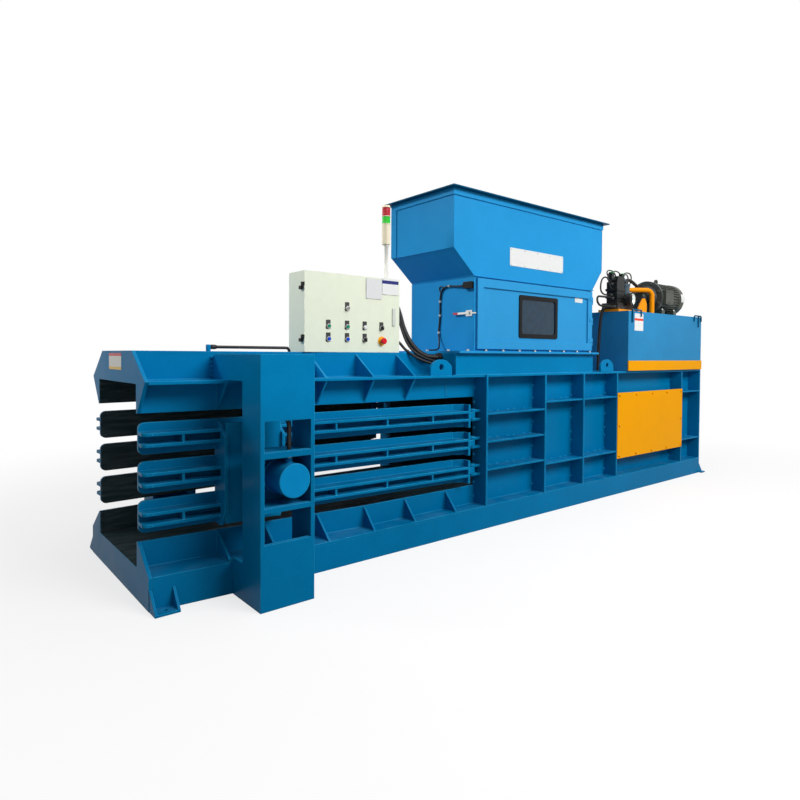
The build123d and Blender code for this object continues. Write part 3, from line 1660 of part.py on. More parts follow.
# Hose from the manifold down behind the tank's left wall to the top plate
tank_hose_points = [
    (manifold_low[0], -430, 1700),
    (manifold_low[0] - 60, -430, 1700),
    (manifold_low[0] - 100, -420, 1680),
    (manifold_low[0] - 112, -405, 1600),
    (manifold_low[0] - 108, -390, 1480),
    (manifold_low[0] - 104, -380, 1340),
    (manifold_low[0] - 106, -375, 1200),
    (manifold_low[0] - 106, -375, top_level),
]
write("tank_hose", [cord("tank_hose", tank_hose_points, 14)])
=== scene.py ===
# %% [markdown]
# # A recycling baler, dressed for its picture
# The steel model comes in as a fixed frame: every plate is where the engineering model says, in metres.
# This notebook gives each plate its paint, adds the small things that steel shops put on such a machine
# (bolts, weld beads, bare plates, hoses), and sets the light and the camera.

# %% Load the frame
import math

import bpy
import numpy as np
from mathutils import Matrix, Vector


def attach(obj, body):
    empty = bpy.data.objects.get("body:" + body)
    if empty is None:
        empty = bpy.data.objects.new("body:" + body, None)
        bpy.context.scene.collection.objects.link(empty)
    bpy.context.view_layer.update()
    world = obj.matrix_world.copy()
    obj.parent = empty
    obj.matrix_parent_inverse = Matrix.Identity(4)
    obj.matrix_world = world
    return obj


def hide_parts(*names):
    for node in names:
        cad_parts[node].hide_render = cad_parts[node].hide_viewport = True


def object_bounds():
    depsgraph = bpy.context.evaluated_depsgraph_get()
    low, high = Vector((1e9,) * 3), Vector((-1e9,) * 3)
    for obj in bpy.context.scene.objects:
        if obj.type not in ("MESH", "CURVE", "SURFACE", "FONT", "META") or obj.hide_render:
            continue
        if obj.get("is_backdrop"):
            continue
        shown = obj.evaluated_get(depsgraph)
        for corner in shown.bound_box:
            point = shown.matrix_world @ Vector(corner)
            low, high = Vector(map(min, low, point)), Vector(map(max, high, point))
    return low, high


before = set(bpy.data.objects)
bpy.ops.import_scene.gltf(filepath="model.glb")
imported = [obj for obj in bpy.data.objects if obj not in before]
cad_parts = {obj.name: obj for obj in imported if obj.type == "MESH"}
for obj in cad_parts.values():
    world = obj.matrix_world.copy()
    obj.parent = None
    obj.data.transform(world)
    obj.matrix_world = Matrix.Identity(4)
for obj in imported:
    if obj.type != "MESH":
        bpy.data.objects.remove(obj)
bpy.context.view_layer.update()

# %% [markdown]
# ## The drawing's own numbers
# The machine was drawn in millimetres. A few of its planes are named here once, in metres, so that bolts
# and welds land on the plates that carry them.

# %% Planes of the machine
floor_top, plate_low, top_level, roof_level = 0.160, 1.064, 1.080, 1.228
body_half, skin_half, shelf_half = 0.608, 0.488, 0.595
hopper_front, hopper_left, hopper_right = -0.585, -0.657, 0.754
seam_level, flare_level, hopper_top = 1.759, 1.932, 2.333
flange_top = 1.243
ribs_at = np.array([-0.540, 0.120, 0.630, 1.135, 2.325])
finger_levels, gate_pivot, gate_slope = (0.409, 0.602, 0.795), (-0.610, -0.522), 0.0503
squeeze_x, squeeze_level, squeeze_end = -2.219, 0.602, 0.894
tank_front, tank_top, motor_axis = -0.625, 1.618, (-0.457, 1.780)
tower_x, tower_y, tower_foot = -1.205, -0.3055, roof_level + 0.477
print("hopper rim at", hopper_top, "m, tank lid at", tank_top, "m")

# %% [markdown]
# ## From arrays to a mesh
# Every new piece below is a shape worked out with numpy: a pair of arrays, its points and its faces. One
# helper turns a shape into a Blender mesh, smooths it if it is round, hands it to the body that it rides on
# and gives it its finish. Two more join shapes into one and repeat a shape at many places.

# %% A mesh from arrays
def piece(name, shape, body, finish, smooth=True):
    """A mesh object from a shape, whose faces all have equal corner counts"""
    points, faces = shape
    mesh = bpy.data.meshes.new(name)
    mesh.from_pydata(np.asarray(points, float).reshape(-1, 3), [], np.asarray(faces).tolist())
    mesh.polygons.foreach_set("use_smooth", np.full(len(mesh.polygons), smooth))
    mesh.update()
    made = bpy.data.objects.new(name, mesh)
    bpy.context.scene.collection.objects.link(made)
    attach(made, body)
    mesh.materials.append(finish)
    return made


def grid_quads(rows, columns, closed_rows=False):
    """Corner numbers of a grid: quad (i, j) joins points (i, j), (i, j+1), (i+1, j+1), (i+1, j)"""
    i, j = np.meshgrid(np.arange(rows - (not closed_rows)), np.arange(columns), indexing="ij")
    i, j = i.ravel(), j.ravel()
    up, across = (i + 1) % rows, (j + 1) % columns
    return np.stack([i * columns + j, i * columns + across, up * columns + across, up * columns + j], axis=1)


def joined(shapes):
    """Many shapes as one: the faces of each are numbered on from the points before it"""
    starts = np.cumsum([0] + [len(points) for points, _ in shapes[:-1]])
    return (
        np.concatenate([points for points, _ in shapes]),
        np.concatenate([faces + start for (_, faces), start in zip(shapes, starts)]),
    )


def turned_to(direction):
    """A rotation matrix whose third column is the direction, so that +Z of a shape points that way"""
    forward = np.asarray(direction, float) / np.linalg.norm(direction)
    side = np.cross([0.0, 0.0, 1.0] if abs(forward[2]) < 0.9 else [1.0, 0.0, 0.0], forward)
    side /= np.linalg.norm(side)
    return np.stack([side, np.cross(forward, side), forward], axis=1)


def copies(shape, places, directions=None):
    """The shape at many places, its +Z turned to one direction, or to one for each place"""
    points, faces = shape
    turns = [np.eye(3)] if directions is None else [turned_to(way) for way in np.reshape(directions, (-1, 3))]
    turns = np.broadcast_to(turns, (len(places), 3, 3))
    return joined([(points @ turn.T + np.asarray(spot, float), faces) for turn, spot in zip(turns, places)])


print("helpers ready: piece, grid_quads, joined, turned_to, copies")

# %% [markdown]
# ## Turned shapes
# Bolt heads, rims and ferrules are turned on a lathe: a profile of radius and height, carried round an
# axis. Six steps round give a hexagon, forty-eight give a circle. The ends close on the axis.

# %% A lathe
on_axis = 1e-5


def lathe(profile, steps):
    """Point (i, j) is (r_i cos a_j, r_i sin a_j, h_i), with a_j = 2 pi j / steps"""
    radius, height = np.asarray(profile, float).T
    angle = np.arange(steps) * 2 * math.pi / steps
    ring = np.stack([np.cos(angle), np.sin(angle), np.zeros(steps)], axis=1)
    points = radius[:, None, None] * ring[None] + height[:, None, None] * np.array([0.0, 0.0, 1.0])
    return points.reshape(-1, 3), grid_quads(len(radius), steps)


def lathed(name, profile, centre, direction, finish, steps=48):
    """A turned piece on the frame, with its axis through centre along direction"""
    return piece(name, copies(lathe(profile, steps), [centre], direction), "frame", finish)


def bolts(name, spots, direction, across, finish):
    """Hexagon heads on washers: the head is turned in 6 steps, the washer under it in 12"""
    half, top, chamfer, seat = across / math.sqrt(3), across * 0.62, across * 0.54, across * 0.12
    head = [(on_axis, 0.0), (half, 0.0), (half, chamfer), (half * 0.86, top), (on_axis, top)]
    washer = [(on_axis, -0.0005), (half * 1.3, -0.0005), (half * 1.3, seat), (on_axis, seat)]
    bolt = joined([lathe(head, 6), lathe(washer, 12)])
    return piece(name, copies(bolt, spots, direction), "frame", finish, smooth=False)


print("lathe ready: a six-sided bar of two rings has", len(lathe([(1, 0), (1, 1)], 6)[0]), "points")

# %% [markdown]
# ## Tubes along a path
# A hose is a circle carried along a line. At each point of the line the circle stands square to it. One
# fixed guide direction says where every circle starts, so that neighbouring circles line up.

# %% A tube along a path
def tube_points(path, radius, steps):
    """Point (i, j) is path_i + radius_i (cos a_j side_i + sin a_j up_i), with side and up square to the path"""
    path = np.asarray(path, float)
    along = np.gradient(path, axis=0)
    along /= np.linalg.norm(along, axis=1, keepdims=True)
    guide = np.array([0.31, 0.17, 0.94])
    side = np.cross(along, guide)
    side /= np.linalg.norm(side, axis=1, keepdims=True)
    up = np.cross(side, along)
    angle = np.arange(steps) * 2 * math.pi / steps
    radius = np.broadcast_to(radius, (len(path),))[:, None, None]
    ring = np.cos(angle)[None, :, None] * side[:, None] + np.sin(angle)[None, :, None] * up[:, None]
    return (path[:, None] + radius * ring).reshape(-1, 3)


def capped_tube(path, radius, steps=16):
    """A tube with one more ring at each end that shrinks to the path's end, so that it is closed"""
    radius = np.concatenate([[1e-6], np.broadcast_to(radius, (len(path),)), [1e-6]])
    before, after = path[:1] * 2 - path[1:2], path[-1:] * 2 - path[-2:-1]
    points = tube_points(np.concatenate([before, path, after]), radius, steps).reshape(-1, steps, 3)
    points[0], points[-1] = path[0], path[-1]
    return points.reshape(-1, 3), grid_quads(len(points), steps)[:, ::-1]


print("tube of 3 points has", len(capped_tube(np.eye(3), 0.1)[0]), "points")

# %% [markdown]
# ## Weld beads
# The machine is welded plate, and the beads are what shows that. A bead is a thin round strip laid in the
# corner between two plates, with a ripple every few millimetres where the welder moved on.

# %% Beads from straight lines
def bead_mesh(lines, width):
    """Each line is cut every pitch / 2, and its radius is width / 2 (1 + 0.22 cos(pi i)), so it ripples"""
    pitch, strips = 0.012, []
    for start, end in np.asarray(lines, float):
        cuts = max(4, int(np.linalg.norm(end - start) / pitch * 2))
        share = np.linspace(0.0, 1.0, cuts)[:, None]
        radius = width / 2 * (1 + 0.22 * np.cos(math.pi * np.arange(cuts)))
        radius[[0, -1]] = on_axis
        strips.append((tube_points(start + (end - start) * share, radius, 6), grid_quads(cuts, 6)[:, ::-1]))
    return joined(strips)


def stitches(lines, dash=0.034, gap=0.062):
    """Short dashes of weld along each line, a little uneven: dash k is moved by 0.2 gap sin(9 k)"""
    dashes = []
    for start, end in np.asarray(lines, float):
        length = np.linalg.norm(end - start)
        along = (end - start) / length
        begins = np.arange(gap / 2, length - dash, dash + gap)
        for begin in begins + 0.2 * gap * np.sin(9.0 * np.arange(len(begins))):
            dashes.append((start + along * begin, start + along * (begin + dash)))
    return dashes


def mirrored(lines):
    """The same lines on the far side: y becomes -y"""
    return list(np.asarray(lines, float) * [1.0, -1.0, 1.0])


def taper(x, half, slope):
    """Half width of a plate line at x: it narrows by slope from taper_start towards the discharge end"""
    return half - max(0.0, taper_start - x) * slope


taper_start = -1.51
wall_slope, shelf_slope, roof_slope, base_slope = 107 / 1290, 85 / 1290, 105 / 1290, 55 / 1290
print("wall half width at the mouth:", round(taper(-2.8, skin_half, wall_slope), 3), "m")

# %% [markdown]
# ## Node trees in plain words
# Materials are node trees. Small helpers keep them readable: one adds a node with its settings and joins,
# and the others add the nodes for one sum, product, mixture or noise and return its result.

# %% Helpers for node trees
def node(tree, kind, inputs=None, **settings):
    """A node of one kind with its settings; an input is a number, a colour or another node's output"""
    new = tree.nodes.new("ShaderNode" + kind)
    for key, value in settings.items():
        setattr(new, key, value)
    for key, value in (inputs or {}).items():
        if isinstance(value, bpy.types.NodeSocket):
            tree.links.new(value, new.inputs[key])
        else:
            new.inputs[key].default_value = value
    return new


def maths(tree, operation, a, b=0.0, clamp=False):
    """The result of one Math node"""
    return node(tree, "Math", {0: a, 1: b}, operation=operation, use_clamp=clamp).outputs[0]


def times(tree, first, *others):
    """The product of all the values"""
    for value in others:
        first = maths(tree, "MULTIPLY", first, value)
    return first


def plus(tree, first, *others):
    """The sum of all the values"""
    for value in others:
        first = maths(tree, "ADD", first, value)
    return first


def minus(tree, a, b):
    """The difference a - b"""
    return maths(tree, "SUBTRACT", a, b)


def within(tree, value, low, high):
    """1 where value lies between low and high, 0 elsewhere"""
    return times(tree, maths(tree, "GREATER_THAN", value, low), maths(tree, "LESS_THAN", value, high))


def mix_value(tree, share, a, b):
    """Number a, with b mixed in by share"""
    return node(tree, "Mix", {0: share, 2: a, 3: b}, data_type="FLOAT").outputs[0]


def mix_colour(tree, share, a, b, blend="MIX"):
    """Colour a, with b mixed in by share"""
    return node(tree, "Mix", {0: share, 6: a, 7: b}, data_type="RGBA", blend_type=blend).outputs[2]


def shaded(tree, colour, value):
    """The colour with each of its channels times the value"""
    grey = node(tree, "CombineColor", {0: value, 1: value, 2: value}).outputs[0]
    return mix_colour(tree, 1.0, colour, grey, "MULTIPLY")


def ramp(tree, value, low, high, to_low=0.0, to_high=1.0):
    """Value from low..high carried smoothly to to_low..to_high"""
    settings = {"Value": value, "From Min": low, "From Max": high, "To Min": to_low, "To Max": to_high}
    return node(tree, "MapRange", settings, interpolation_type="SMOOTHSTEP").outputs[0]


def on_part(tree):
    """A point's place on the part"""
    return node(tree, "TexCoord").outputs["Object"]


def object_axes(tree):
    """X, Y and Z of a point on the part"""
    return node(tree, "SeparateXYZ", {0: on_part(tree)}).outputs[:3]


def noise(tree, where, scale, detail):
    """Noise between 0 and 1; a larger scale gives smaller patches"""
    return node(tree, "TexNoise", {"Vector": where, "Scale": scale, "Detail": detail}).outputs[0]


def new_group(name, inputs, outputs):
    """An empty shader node group with named sockets; inputs are (name, kind, first value)"""
    group = bpy.data.node_groups.new(name, "ShaderNodeTree")
    for title, kind, value in inputs:
        socket = group.interface.new_socket(title, in_out="INPUT", socket_type="NodeSocket" + kind)
        socket.default_value = value
    for title, kind in outputs:
        group.interface.new_socket(title, in_out="OUTPUT", socket_type="NodeSocket" + kind)
    return group, group.nodes.new("NodeGroupInput").outputs, group.nodes.new("NodeGroupOutput").inputs


def place(tree, group, inputs=None):
    """The group as one node of a material, with this material's own values"""
    return node(tree, "Group", inputs, node_tree=group).outputs


print("node helpers ready")

# %% [markdown]
# ## Sprayed machine paint
# The body was sprayed with air-dried enamel: a faint orange peel, slow waves where the plate pulled at the
# welds, tone that drifts over metres, painted shade with some dirt that darkens the paint low down, some dust
# on what faces up, and plate edges painted lighter, partly paint worn thin and partly a painted highlight.
# All of that is one group, so every painted part can use it with its own colour.

# %% Group: sprayed paint
paint, paint_in, paint_out = new_group(
    "Sprayed paint",
    [("Color", "Color", (0.0, 0.19, 0.48, 1)), ("Drift", "Float", 0.12), ("Shade and grime", "Float", 1.0),
     ("Dust", "Float", 0.25), ("Edge", "Float", 0.35), ("Edge width", "Float", 0.0035)],
    [("Color", "Color"), ("Roughness", "Float"), ("Height", "Float"), ("Normal", "Vector")],
)
where = on_part(paint)
slow, patch, speck = noise(paint, where, 1.1, 3.0), noise(paint, where, 9.0, 4.0), noise(paint, where, 90.0, 2.0)
peel, wave = noise(paint, where, 420.0, 1.0), noise(paint, where, 2.6, 0.0)
tone = plus(paint, minus(paint, slow, 0.5), times(paint, minus(paint, patch, 0.5), 0.4),
            times(paint, minus(paint, speck, 0.5), 0.45))
drift = plus(paint, times(paint, paint_in["Drift"], 2.0, tone), 1.0)
# Painted shade with some dirt: from the top plate down to 0.7 m the paint darkens by the factor each material gives
drift = times(paint, drift, ramp(paint, object_axes(paint)[2], 0.7, top_level, paint_in["Shade and grime"], 1.0))
toned = shaded(paint, paint_in["Color"], drift)
rounded = node(paint, "Bevel", {"Radius": paint_in["Edge width"]}, samples=4)
flat = node(paint, "NewGeometry").outputs["Normal"]
bend = node(paint, "VectorMath", {0: rounded.outputs[0], 1: flat}, operation="DOT_PRODUCT").outputs["Value"]
# Plate edges turn a lighter blue: partly paint worn thin, partly a painted highlight where edges catch the light
edge = ramp(paint, bend, 0.995, 0.8)
edge_wear_and_highlight = times(paint, edge, ramp(paint, patch, 0.3, 0.6, 0.45, 1.0), paint_in["Edge"])
edges_worn_and_highlit = mix_colour(paint, edge_wear_and_highlight, toned, (0.035, 0.45, 0.75, 1))
facing_up = node(paint, "SeparateXYZ", {0: flat}).outputs[2]
lying = times(paint, ramp(paint, facing_up, 0.5, 0.95), ramp(paint, patch, 0.35, 0.75))
dust_spots = times(paint, ramp(paint, speck, 0.62, 0.8), 0.06)
dust_share = times(paint, plus(paint, lying, dust_spots), paint_in["Dust"])
dusty = mix_colour(paint, dust_share, edges_worn_and_highlit, (0.16, 0.30, 0.42, 1))
paint.links.new(dusty, paint_out["Color"])
worn = plus(paint, times(paint, patch, 0.16), times(paint, dust_share, 0.8))
paint.links.new(maths(paint, "ADD", worn, 0.27, True), paint_out["Roughness"])
paint.links.new(plus(paint, times(paint, peel, 0.05), times(paint, wave, 1.2)), paint_out["Height"])
paint.links.new(rounded.outputs[0], paint_out["Normal"])
print("group:", paint.name, "with", len(paint.nodes), "nodes")

# %% [markdown]
# ## The dark inside of the bale chamber
# Bales scrub the paint off the chamber, and what is left is dark, greasy steel. The same plate is blue
# outside and dark inside, so a mask decides by place: everything inside the wall line is dark.

# %% Group: inside of the chamber
chamber, _, chamber_out = new_group(
    "Chamber side", [], [("Mask", "Float"), ("Color", "Color"), ("Roughness", "Float")])
where = on_part(chamber)
x, y, z = object_axes(chamber)
inner_half, chamber_mouth, chamber_back = 0.4735, -2.7985, 1.3


def inner_line(start, slope):
    """Half width of the chamber at x: it narrows by slope from start towards the discharge end"""
    beyond = maths(chamber, "MAXIMUM", minus(chamber, start, x), 0.0)
    return minus(chamber, inner_half, times(chamber, beyond, slope))


at_gates = within(chamber, z, 0.300, 0.905)
line = mix_value(chamber, at_gates, inner_line(taper_start, 0.0829), inner_line(gate_pivot[0], gate_slope))
inside = maths(chamber, "LESS_THAN", maths(chamber, "ABSOLUTE", y), line)
tall = within(chamber, z, floor_top - 0.0005, plate_low + 0.0005)
deep = within(chamber, x, chamber_mouth, chamber_back)
chamber.links.new(times(chamber, inside, tall, deep), chamber_out["Mask"])
stretched = node(chamber, "Mapping", {"Vector": where, "Scale": (1.5, 12.0, 12.0)}).outputs[0]
scrape, rust = noise(chamber, stretched, 4.0, 6.0), noise(chamber, where, 5.0, 5.0)
greasy = mix_colour(chamber, ramp(chamber, scrape, 0.35, 0.75), (0.030, 0.060, 0.072, 1), (0.085, 0.122, 0.135, 1))
rusty = mix_colour(chamber, ramp(chamber, rust, 0.55, 0.8, 0.0, 0.4), greasy, (0.060, 0.042, 0.030, 1))
chamber.links.new(rusty, chamber_out["Color"])
chamber.links.new(ramp(chamber, scrape, 0.2, 0.8, 0.62, 0.4), chamber_out["Roughness"])
print("group:", chamber.name, "with", len(chamber.nodes), "nodes")

# %% [markdown]
# ## Painted materials
# One function makes a painted material from the two groups: the paint's colour goes through the chamber
# mask into the shader, and the height goes through a Bump node whose base is the rounded edge normal.

# %% Painted steel
def shader_of(name):
    """A new material, its tree and its Principled shader"""
    material = bpy.data.materials.new(name)
    material.use_nodes = True
    tree = material.node_tree
    return material, tree, next(n for n in tree.nodes if n.type == "BSDF_PRINCIPLED")


def painted(name, colour, drift=0.12, dust=0.25, edge=0.35, edge_width=0.0035, shade_and_grime=1.0, dark_inside=False,
            painted_shade_above=None, shade_before=None):
    """Sprayed paint over steel; dark_inside turns the bale chamber's side to worn steel. The colour turns darker
    above a height as painted shade on the hopper's rim, and in front of a plane as the darker coat of the tank's hooks"""
    material, tree, shader = shader_of(name)
    made = place(tree, paint, {"Color": (*colour, 1), "Drift": drift, "Shade and grime": shade_and_grime, "Dust": dust, "Edge": edge,
                               "Edge width": edge_width})
    skin_colour, roughness = made["Color"], made["Roughness"]
    if dark_inside:
        worn = place(tree, chamber)
        skin_colour = mix_colour(tree, worn["Mask"], skin_colour, worn["Color"])
        roughness = mix_value(tree, worn["Mask"], roughness, worn["Roughness"])
    if painted_shade_above is not None or shade_before is not None:
        x, y, z = object_axes(tree)
        if painted_shade_above is not None:
            # Painted shade: above the given height the colour darkens, for the hopper's rim plate
            darker = maths(tree, "GREATER_THAN", z, painted_shade_above)
        else:
            darker = maths(tree, "LESS_THAN", y, shade_before)
        skin_colour = mix_colour(tree, darker, skin_colour, (0.0, 0.085, 0.17, 1))
    tree.links.new(skin_colour, shader.inputs["Base Color"])
    tree.links.new(roughness, shader.inputs["Roughness"])
    bump = node(tree, "Bump", {"Height": made["Height"], "Normal": made["Normal"], "Strength": 0.35, "Distance": 0.004})
    tree.links.new(bump.outputs[0], shader.inputs["Normal"])
    shader.inputs["Specular IOR Level"].default_value = 0.035
    return material


# Body, gates and welds darken low down: painted shade with some dirt
body_blue = painted("body_blue", (0.0, 0.20, 0.445), drift=0.18, dust=0.12, edge=0.75, edge_width=0.005,
                    shade_and_grime=0.78, dark_inside=True)
# The gates take a stronger and wider painted edge highlight than the body
gate_blue = painted("gate_blue", (0.0, 0.205, 0.445), drift=0.18, dust=0.12, edge=1.0, edge_width=0.0065,
                    shade_and_grime=0.85, dark_inside=True)
# The squeeze cylinders are a lighter, greener copy of the body blue: painted light for bounce light that their shaded
# place lacks
cylinder_blue_with_painted_light = painted("cylinder_blue_with_painted_light", (0.002, 0.24, 0.53), drift=0.15, dust=0.1, edge=0.9, edge_width=0.005)
# The hopper's rim plate, from 9.5 mm below the top, is darkened as painted shade
hopper_blue = painted("hopper_blue", (0.018, 0.275, 0.60), dust=0.15, painted_shade_above=hopper_top - 0.0095)
door_blue = painted("door_blue", (0.03, 0.29, 0.60), dust=0.1)
tank_blue = painted("tank_blue", (0.025, 0.235, 0.48), drift=0.22, dust=0.12, shade_before=tank_front - 0.0004)
weld_blue = painted("weld_blue", (0.008, 0.245, 0.49), edge=0.0, shade_and_grime=0.85)
warm_yellow = painted("warm_yellow", (0.84, 0.345, 0.0), drift=0.07, dust=0.03, edge=0.0)
pipe_orange = painted("pipe_orange", (0.9, 0.3, 0.005), drift=0.08, edge=0.15)
print("painted materials:", len([m for m in bpy.data.materials if m.name.endswith(("blue", "yellow", "orange"))]))

# %% [markdown]
# ## Steel, rubber and plastics
# Smaller parts need only a colour, a roughness and a fine grain. One function covers them: the colour
# drifts a little, the grain feeds a bump, and metals say so on the shader's own socket.

# %% A plain finish with grain
grain, grain_in, grain_out = new_group(
    "Fine grain",
    [("Color", "Color", (0.5, 0.5, 0.5, 1)), ("Scale", "Float", 300.0), ("Shade", "Float", 0.15),
     ("Rough", "Float", 0.4)],
    [("Color", "Color"), ("Roughness", "Float"), ("Height", "Float")],
)
where = on_part(grain)
fine = noise(grain, where, grain_in["Scale"], 3.0)
uneven = minus(grain, noise(grain, where, 22.0, 3.0), 0.5)
drift = plus(grain, times(grain, grain_in["Shade"], 2.0, uneven), 1.0)
grain.links.new(shaded(grain, grain_in["Color"], drift), grain_out["Color"])
grain.links.new(maths(grain, "ADD", grain_in["Rough"], times(grain, uneven, 0.2), True), grain_out["Roughness"])
grain.links.new(fine, grain_out["Height"])


def grained(name, colour, rough=0.4, scale=300.0, shade=0.15, metallic=0.0, depth=0.0004, strength=0.25):
    """A finish with a fine grain; returns the material, its tree and its shader"""
    material, tree, shader = shader_of(name)
    made = place(tree, grain, {"Color": (*colour, 1), "Scale": scale, "Shade": shade, "Rough": rough})
    tree.links.new(made["Color"], shader.inputs["Base Color"])
    tree.links.new(made["Roughness"], shader.inputs["Roughness"])
    bump = node(tree, "Bump", {"Height": made["Height"], "Strength": strength, "Distance": depth})
    tree.links.new(bump.outputs[0], shader.inputs["Normal"])
    shader.inputs["Metallic"].default_value = metallic
    shader.inputs["Specular IOR Level"].default_value = 0.5 if metallic else 0.25
    return material, tree, shader


zinc_steel = grained("zinc_steel", (0.5, 0.5, 0.46), 0.38, 240, 0.2, 1.0)[0]
hose_black = grained("hose_black", (0.012, 0.012, 0.013), 0.42, 700, 0.2)[0]
moulded_black, _, shader = grained("moulded_black", (0.007, 0.007, 0.008), 0.38, 900, 0.15)
shader.inputs["Specular IOR Level"].default_value = 0.12
iron_dark = grained("iron_dark", (0.035, 0.042, 0.042), 0.5, 180, 0.25, depth=0.001)[0]
plate_white = grained("plate_white", (0.70, 0.71, 0.70), 0.35, 400, 0.04)[0]
print("small finishes:", zinc_steel.name, hose_black.name, plate_white.name)

# %% [markdown]
# ## Colour by place
# Some parts carry two finishes: a black legend plate under a chrome ring, a red tip on a steel lever. The
# part stays one mesh, and the second colour is chosen by where a point lies on the part.

# %% Masks by place
def disc_mask(tree, a, b, centre, radius):
    """1 inside a circle seen along the third axis, then the distance from its centre, aside and above"""
    aside, above = minus(tree, a, centre[0]), minus(tree, b, centre[1])
    reach = maths(tree, "SQRT", plus(tree, times(tree, aside, aside), times(tree, above, above)))
    return maths(tree, "LESS_THAN", reach, radius), reach, aside, above


def repaint(tree, shader, mask, colour, roughness=None, plastic=False):
    """Where mask is 1, the shader takes this colour and roughness, and if it is plastic, no metal"""
    before = shader.inputs["Base Color"].links[0].from_socket
    tree.links.new(mix_colour(tree, mask, before, (*colour, 1)), shader.inputs["Base Color"])
    if roughness is not None:
        before = shader.inputs["Roughness"].links[0].from_socket
        tree.links.new(mix_value(tree, mask, before, roughness), shader.inputs["Roughness"])
    if plastic:
        tree.links.new(minus(tree, 1.0, mask), shader.inputs["Metallic"])


print("masks ready: disc_mask, repaint")

# %% [markdown]
# ## The control door
# The cabinet is cream powder coat with black hinges. Each control has a black legend plate and a bright
# ring, and the stop button stands on a yellow disc.

# %% Cabinet and control finishes
cabinet_low_x, cabinet_high_x, door_y = -1.870, -1.155, -0.3865
panel_edge, legend_y, knob_face_y = 0.035, -0.3877, -0.4045
cabinet_cream, tree, shader = grained("cabinet_cream", (0.77, 0.815, 0.655), 0.38, 650, 0.04, strength=0.4)
x, y, z = object_axes(tree)
hinge_side = maths(tree, "LESS_THAN", x, cabinet_low_x - 0.0005)
repaint(tree, shader, hinge_side, (0.012, 0.012, 0.013), roughness=0.4)
gear = times(tree, within(tree, x, cabinet_low_x + panel_edge, cabinet_high_x - panel_edge),
             within(tree, z, roof_level + panel_edge, roof_level + 0.445), within(tree, y, -0.30, -0.2061))
repaint(tree, shader, gear, (0.32, 0.33, 0.34), roughness=0.45)

bezel_ring, tree, shader = grained("bezel_ring", (0.55, 0.55, 0.53), 0.2, 600, 0.05, 1.0)
x, y, z = object_axes(tree)
legend = maths(tree, "GREATER_THAN", y, legend_y)
stop_disc = disc_mask(tree, x, z, (-1.300, roof_level + 0.074), 0.031)[0]
repaint(tree, shader, legend, (0.01, 0.01, 0.011), roughness=0.4, plastic=True)
repaint(tree, shader, times(tree, legend, stop_disc), (0.95, 0.42, 0.0))

cap_green = grained("cap_green", (0.0, 0.24, 0.13), 0.25, 600, 0.05)[0]
cap_white = grained("cap_white", (0.8, 0.8, 0.78), 0.25, 600, 0.03)[0]
cap_blue = grained("cap_blue", (0.0, 0.06, 0.62), 0.25, 600, 0.05)[0]
cap_red = grained("cap_red", (0.68, 0.004, 0.014), 0.25, 600, 0.05)[0]
key_metal = grained("key_metal", (0.5, 0.5, 0.5), 0.3, 500, 0.1, 1.0)[0]
latch_grey = grained("latch_grey", (0.62, 0.65, 0.58), 0.32, 500, 0.08)[0]

knob_black, tree, shader = grained("knob_black", (0.012, 0.012, 0.013), 0.35, 700, 0.1)
x, y, z = object_axes(tree)
line_1 = times(tree, within(tree, x, -1.3048, -1.3032), maths(tree, "GREATER_THAN", z, roof_level + 0.160))
line_2 = times(tree, within(tree, x, -1.4368, -1.4352), within(tree, z, roof_level + 0.083, roof_level + 0.110))
front_only = maths(tree, "LESS_THAN", y, knob_face_y)
repaint(tree, shader, times(tree, maths(tree, "ADD", line_1, line_2, True), front_only), (0.8, 0.8, 0.8))
print("cabinet finishes:", cabinet_cream.name, bezel_ring.name, knob_black.name)

# %% [markdown]
# ## Signal tower lenses
# A stack lamp is a clear coloured tube with fine upright ribs inside, lit by a lamp that is off here. The
# ribs are a wave of the angle round the tube's own axis, so they stay upright on the round.

# %% Lenses
def lens(name, colour):
    """Coloured plastic with ribs: height = cos(26 a), a the angle round the tower's axis"""
    material, tree, shader = grained(name, colour, 0.22, 500, 0.06)
    x, y, z = object_axes(tree)
    angle = maths(tree, "ARCTAN2", minus(tree, y, tower_y), minus(tree, x, tower_x))
    rib = maths(tree, "COSINE", times(tree, angle, 26.0))
    shade = plus(tree, times(tree, rib, 0.16), 0.84)
    before = shader.inputs["Base Color"].links[0].from_socket
    tree.links.new(shaded(tree, before, shade), shader.inputs["Base Color"])
    bump = node(tree, "Bump", {"Height": rib, "Strength": 0.5, "Distance": 0.001})
    tree.links.new(bump.outputs[0], shader.inputs["Normal"])
    shader.inputs["Coat Weight"].default_value = 0.3
    return material


lens_green = lens("lens_green", (0.02, 0.72, 0.02))
lens_red = lens("lens_red", (0.62, 0.002, 0.02))
tower_cream, tree, shader = grained("tower_cream", (0.82, 0.74, 0.55), 0.35, 500, 0.04)
pole_part = maths(tree, "LESS_THAN", object_axes(tree)[2], tower_foot + 0.237)
repaint(tree, shader, pole_part, (0.72, 0.71, 0.66))
print("tower finishes:", lens_green.name, lens_red.name, tower_cream.name)

# %% [markdown]
# ## Window, latch and gauge
# The door's window is a thick polycarbonate pane, dark and nearly opaque: its tint also paints in the shade of
# the hopper's inside behind it. The toggle latch is bright steel with a red grip. The gauge's white dial with
# its ticks is worked out from the radius and the angle.

# %% Window, latch and gauge finishes
# The pane's dark colour and low transmission paint in the shade of the hopper's inside
pane_dark, _, shader = grained("pane_dark", (0.018, 0.045, 0.075), 0.16, 30, 0.35, depth=0.0006, strength=0.12)
shader.inputs["Transmission Weight"].default_value = 0.15
shader.inputs["IOR"].default_value = 1.45

grip_y = -0.447
latch_steel, tree, shader = grained("latch_steel", (0.7, 0.7, 0.68), 0.22, 500, 0.1, 1.0)
grip = maths(tree, "GREATER_THAN", object_axes(tree)[1], grip_y)
repaint(tree, shader, grip, (0.6, 0.006, 0.02), roughness=0.35, plastic=True)

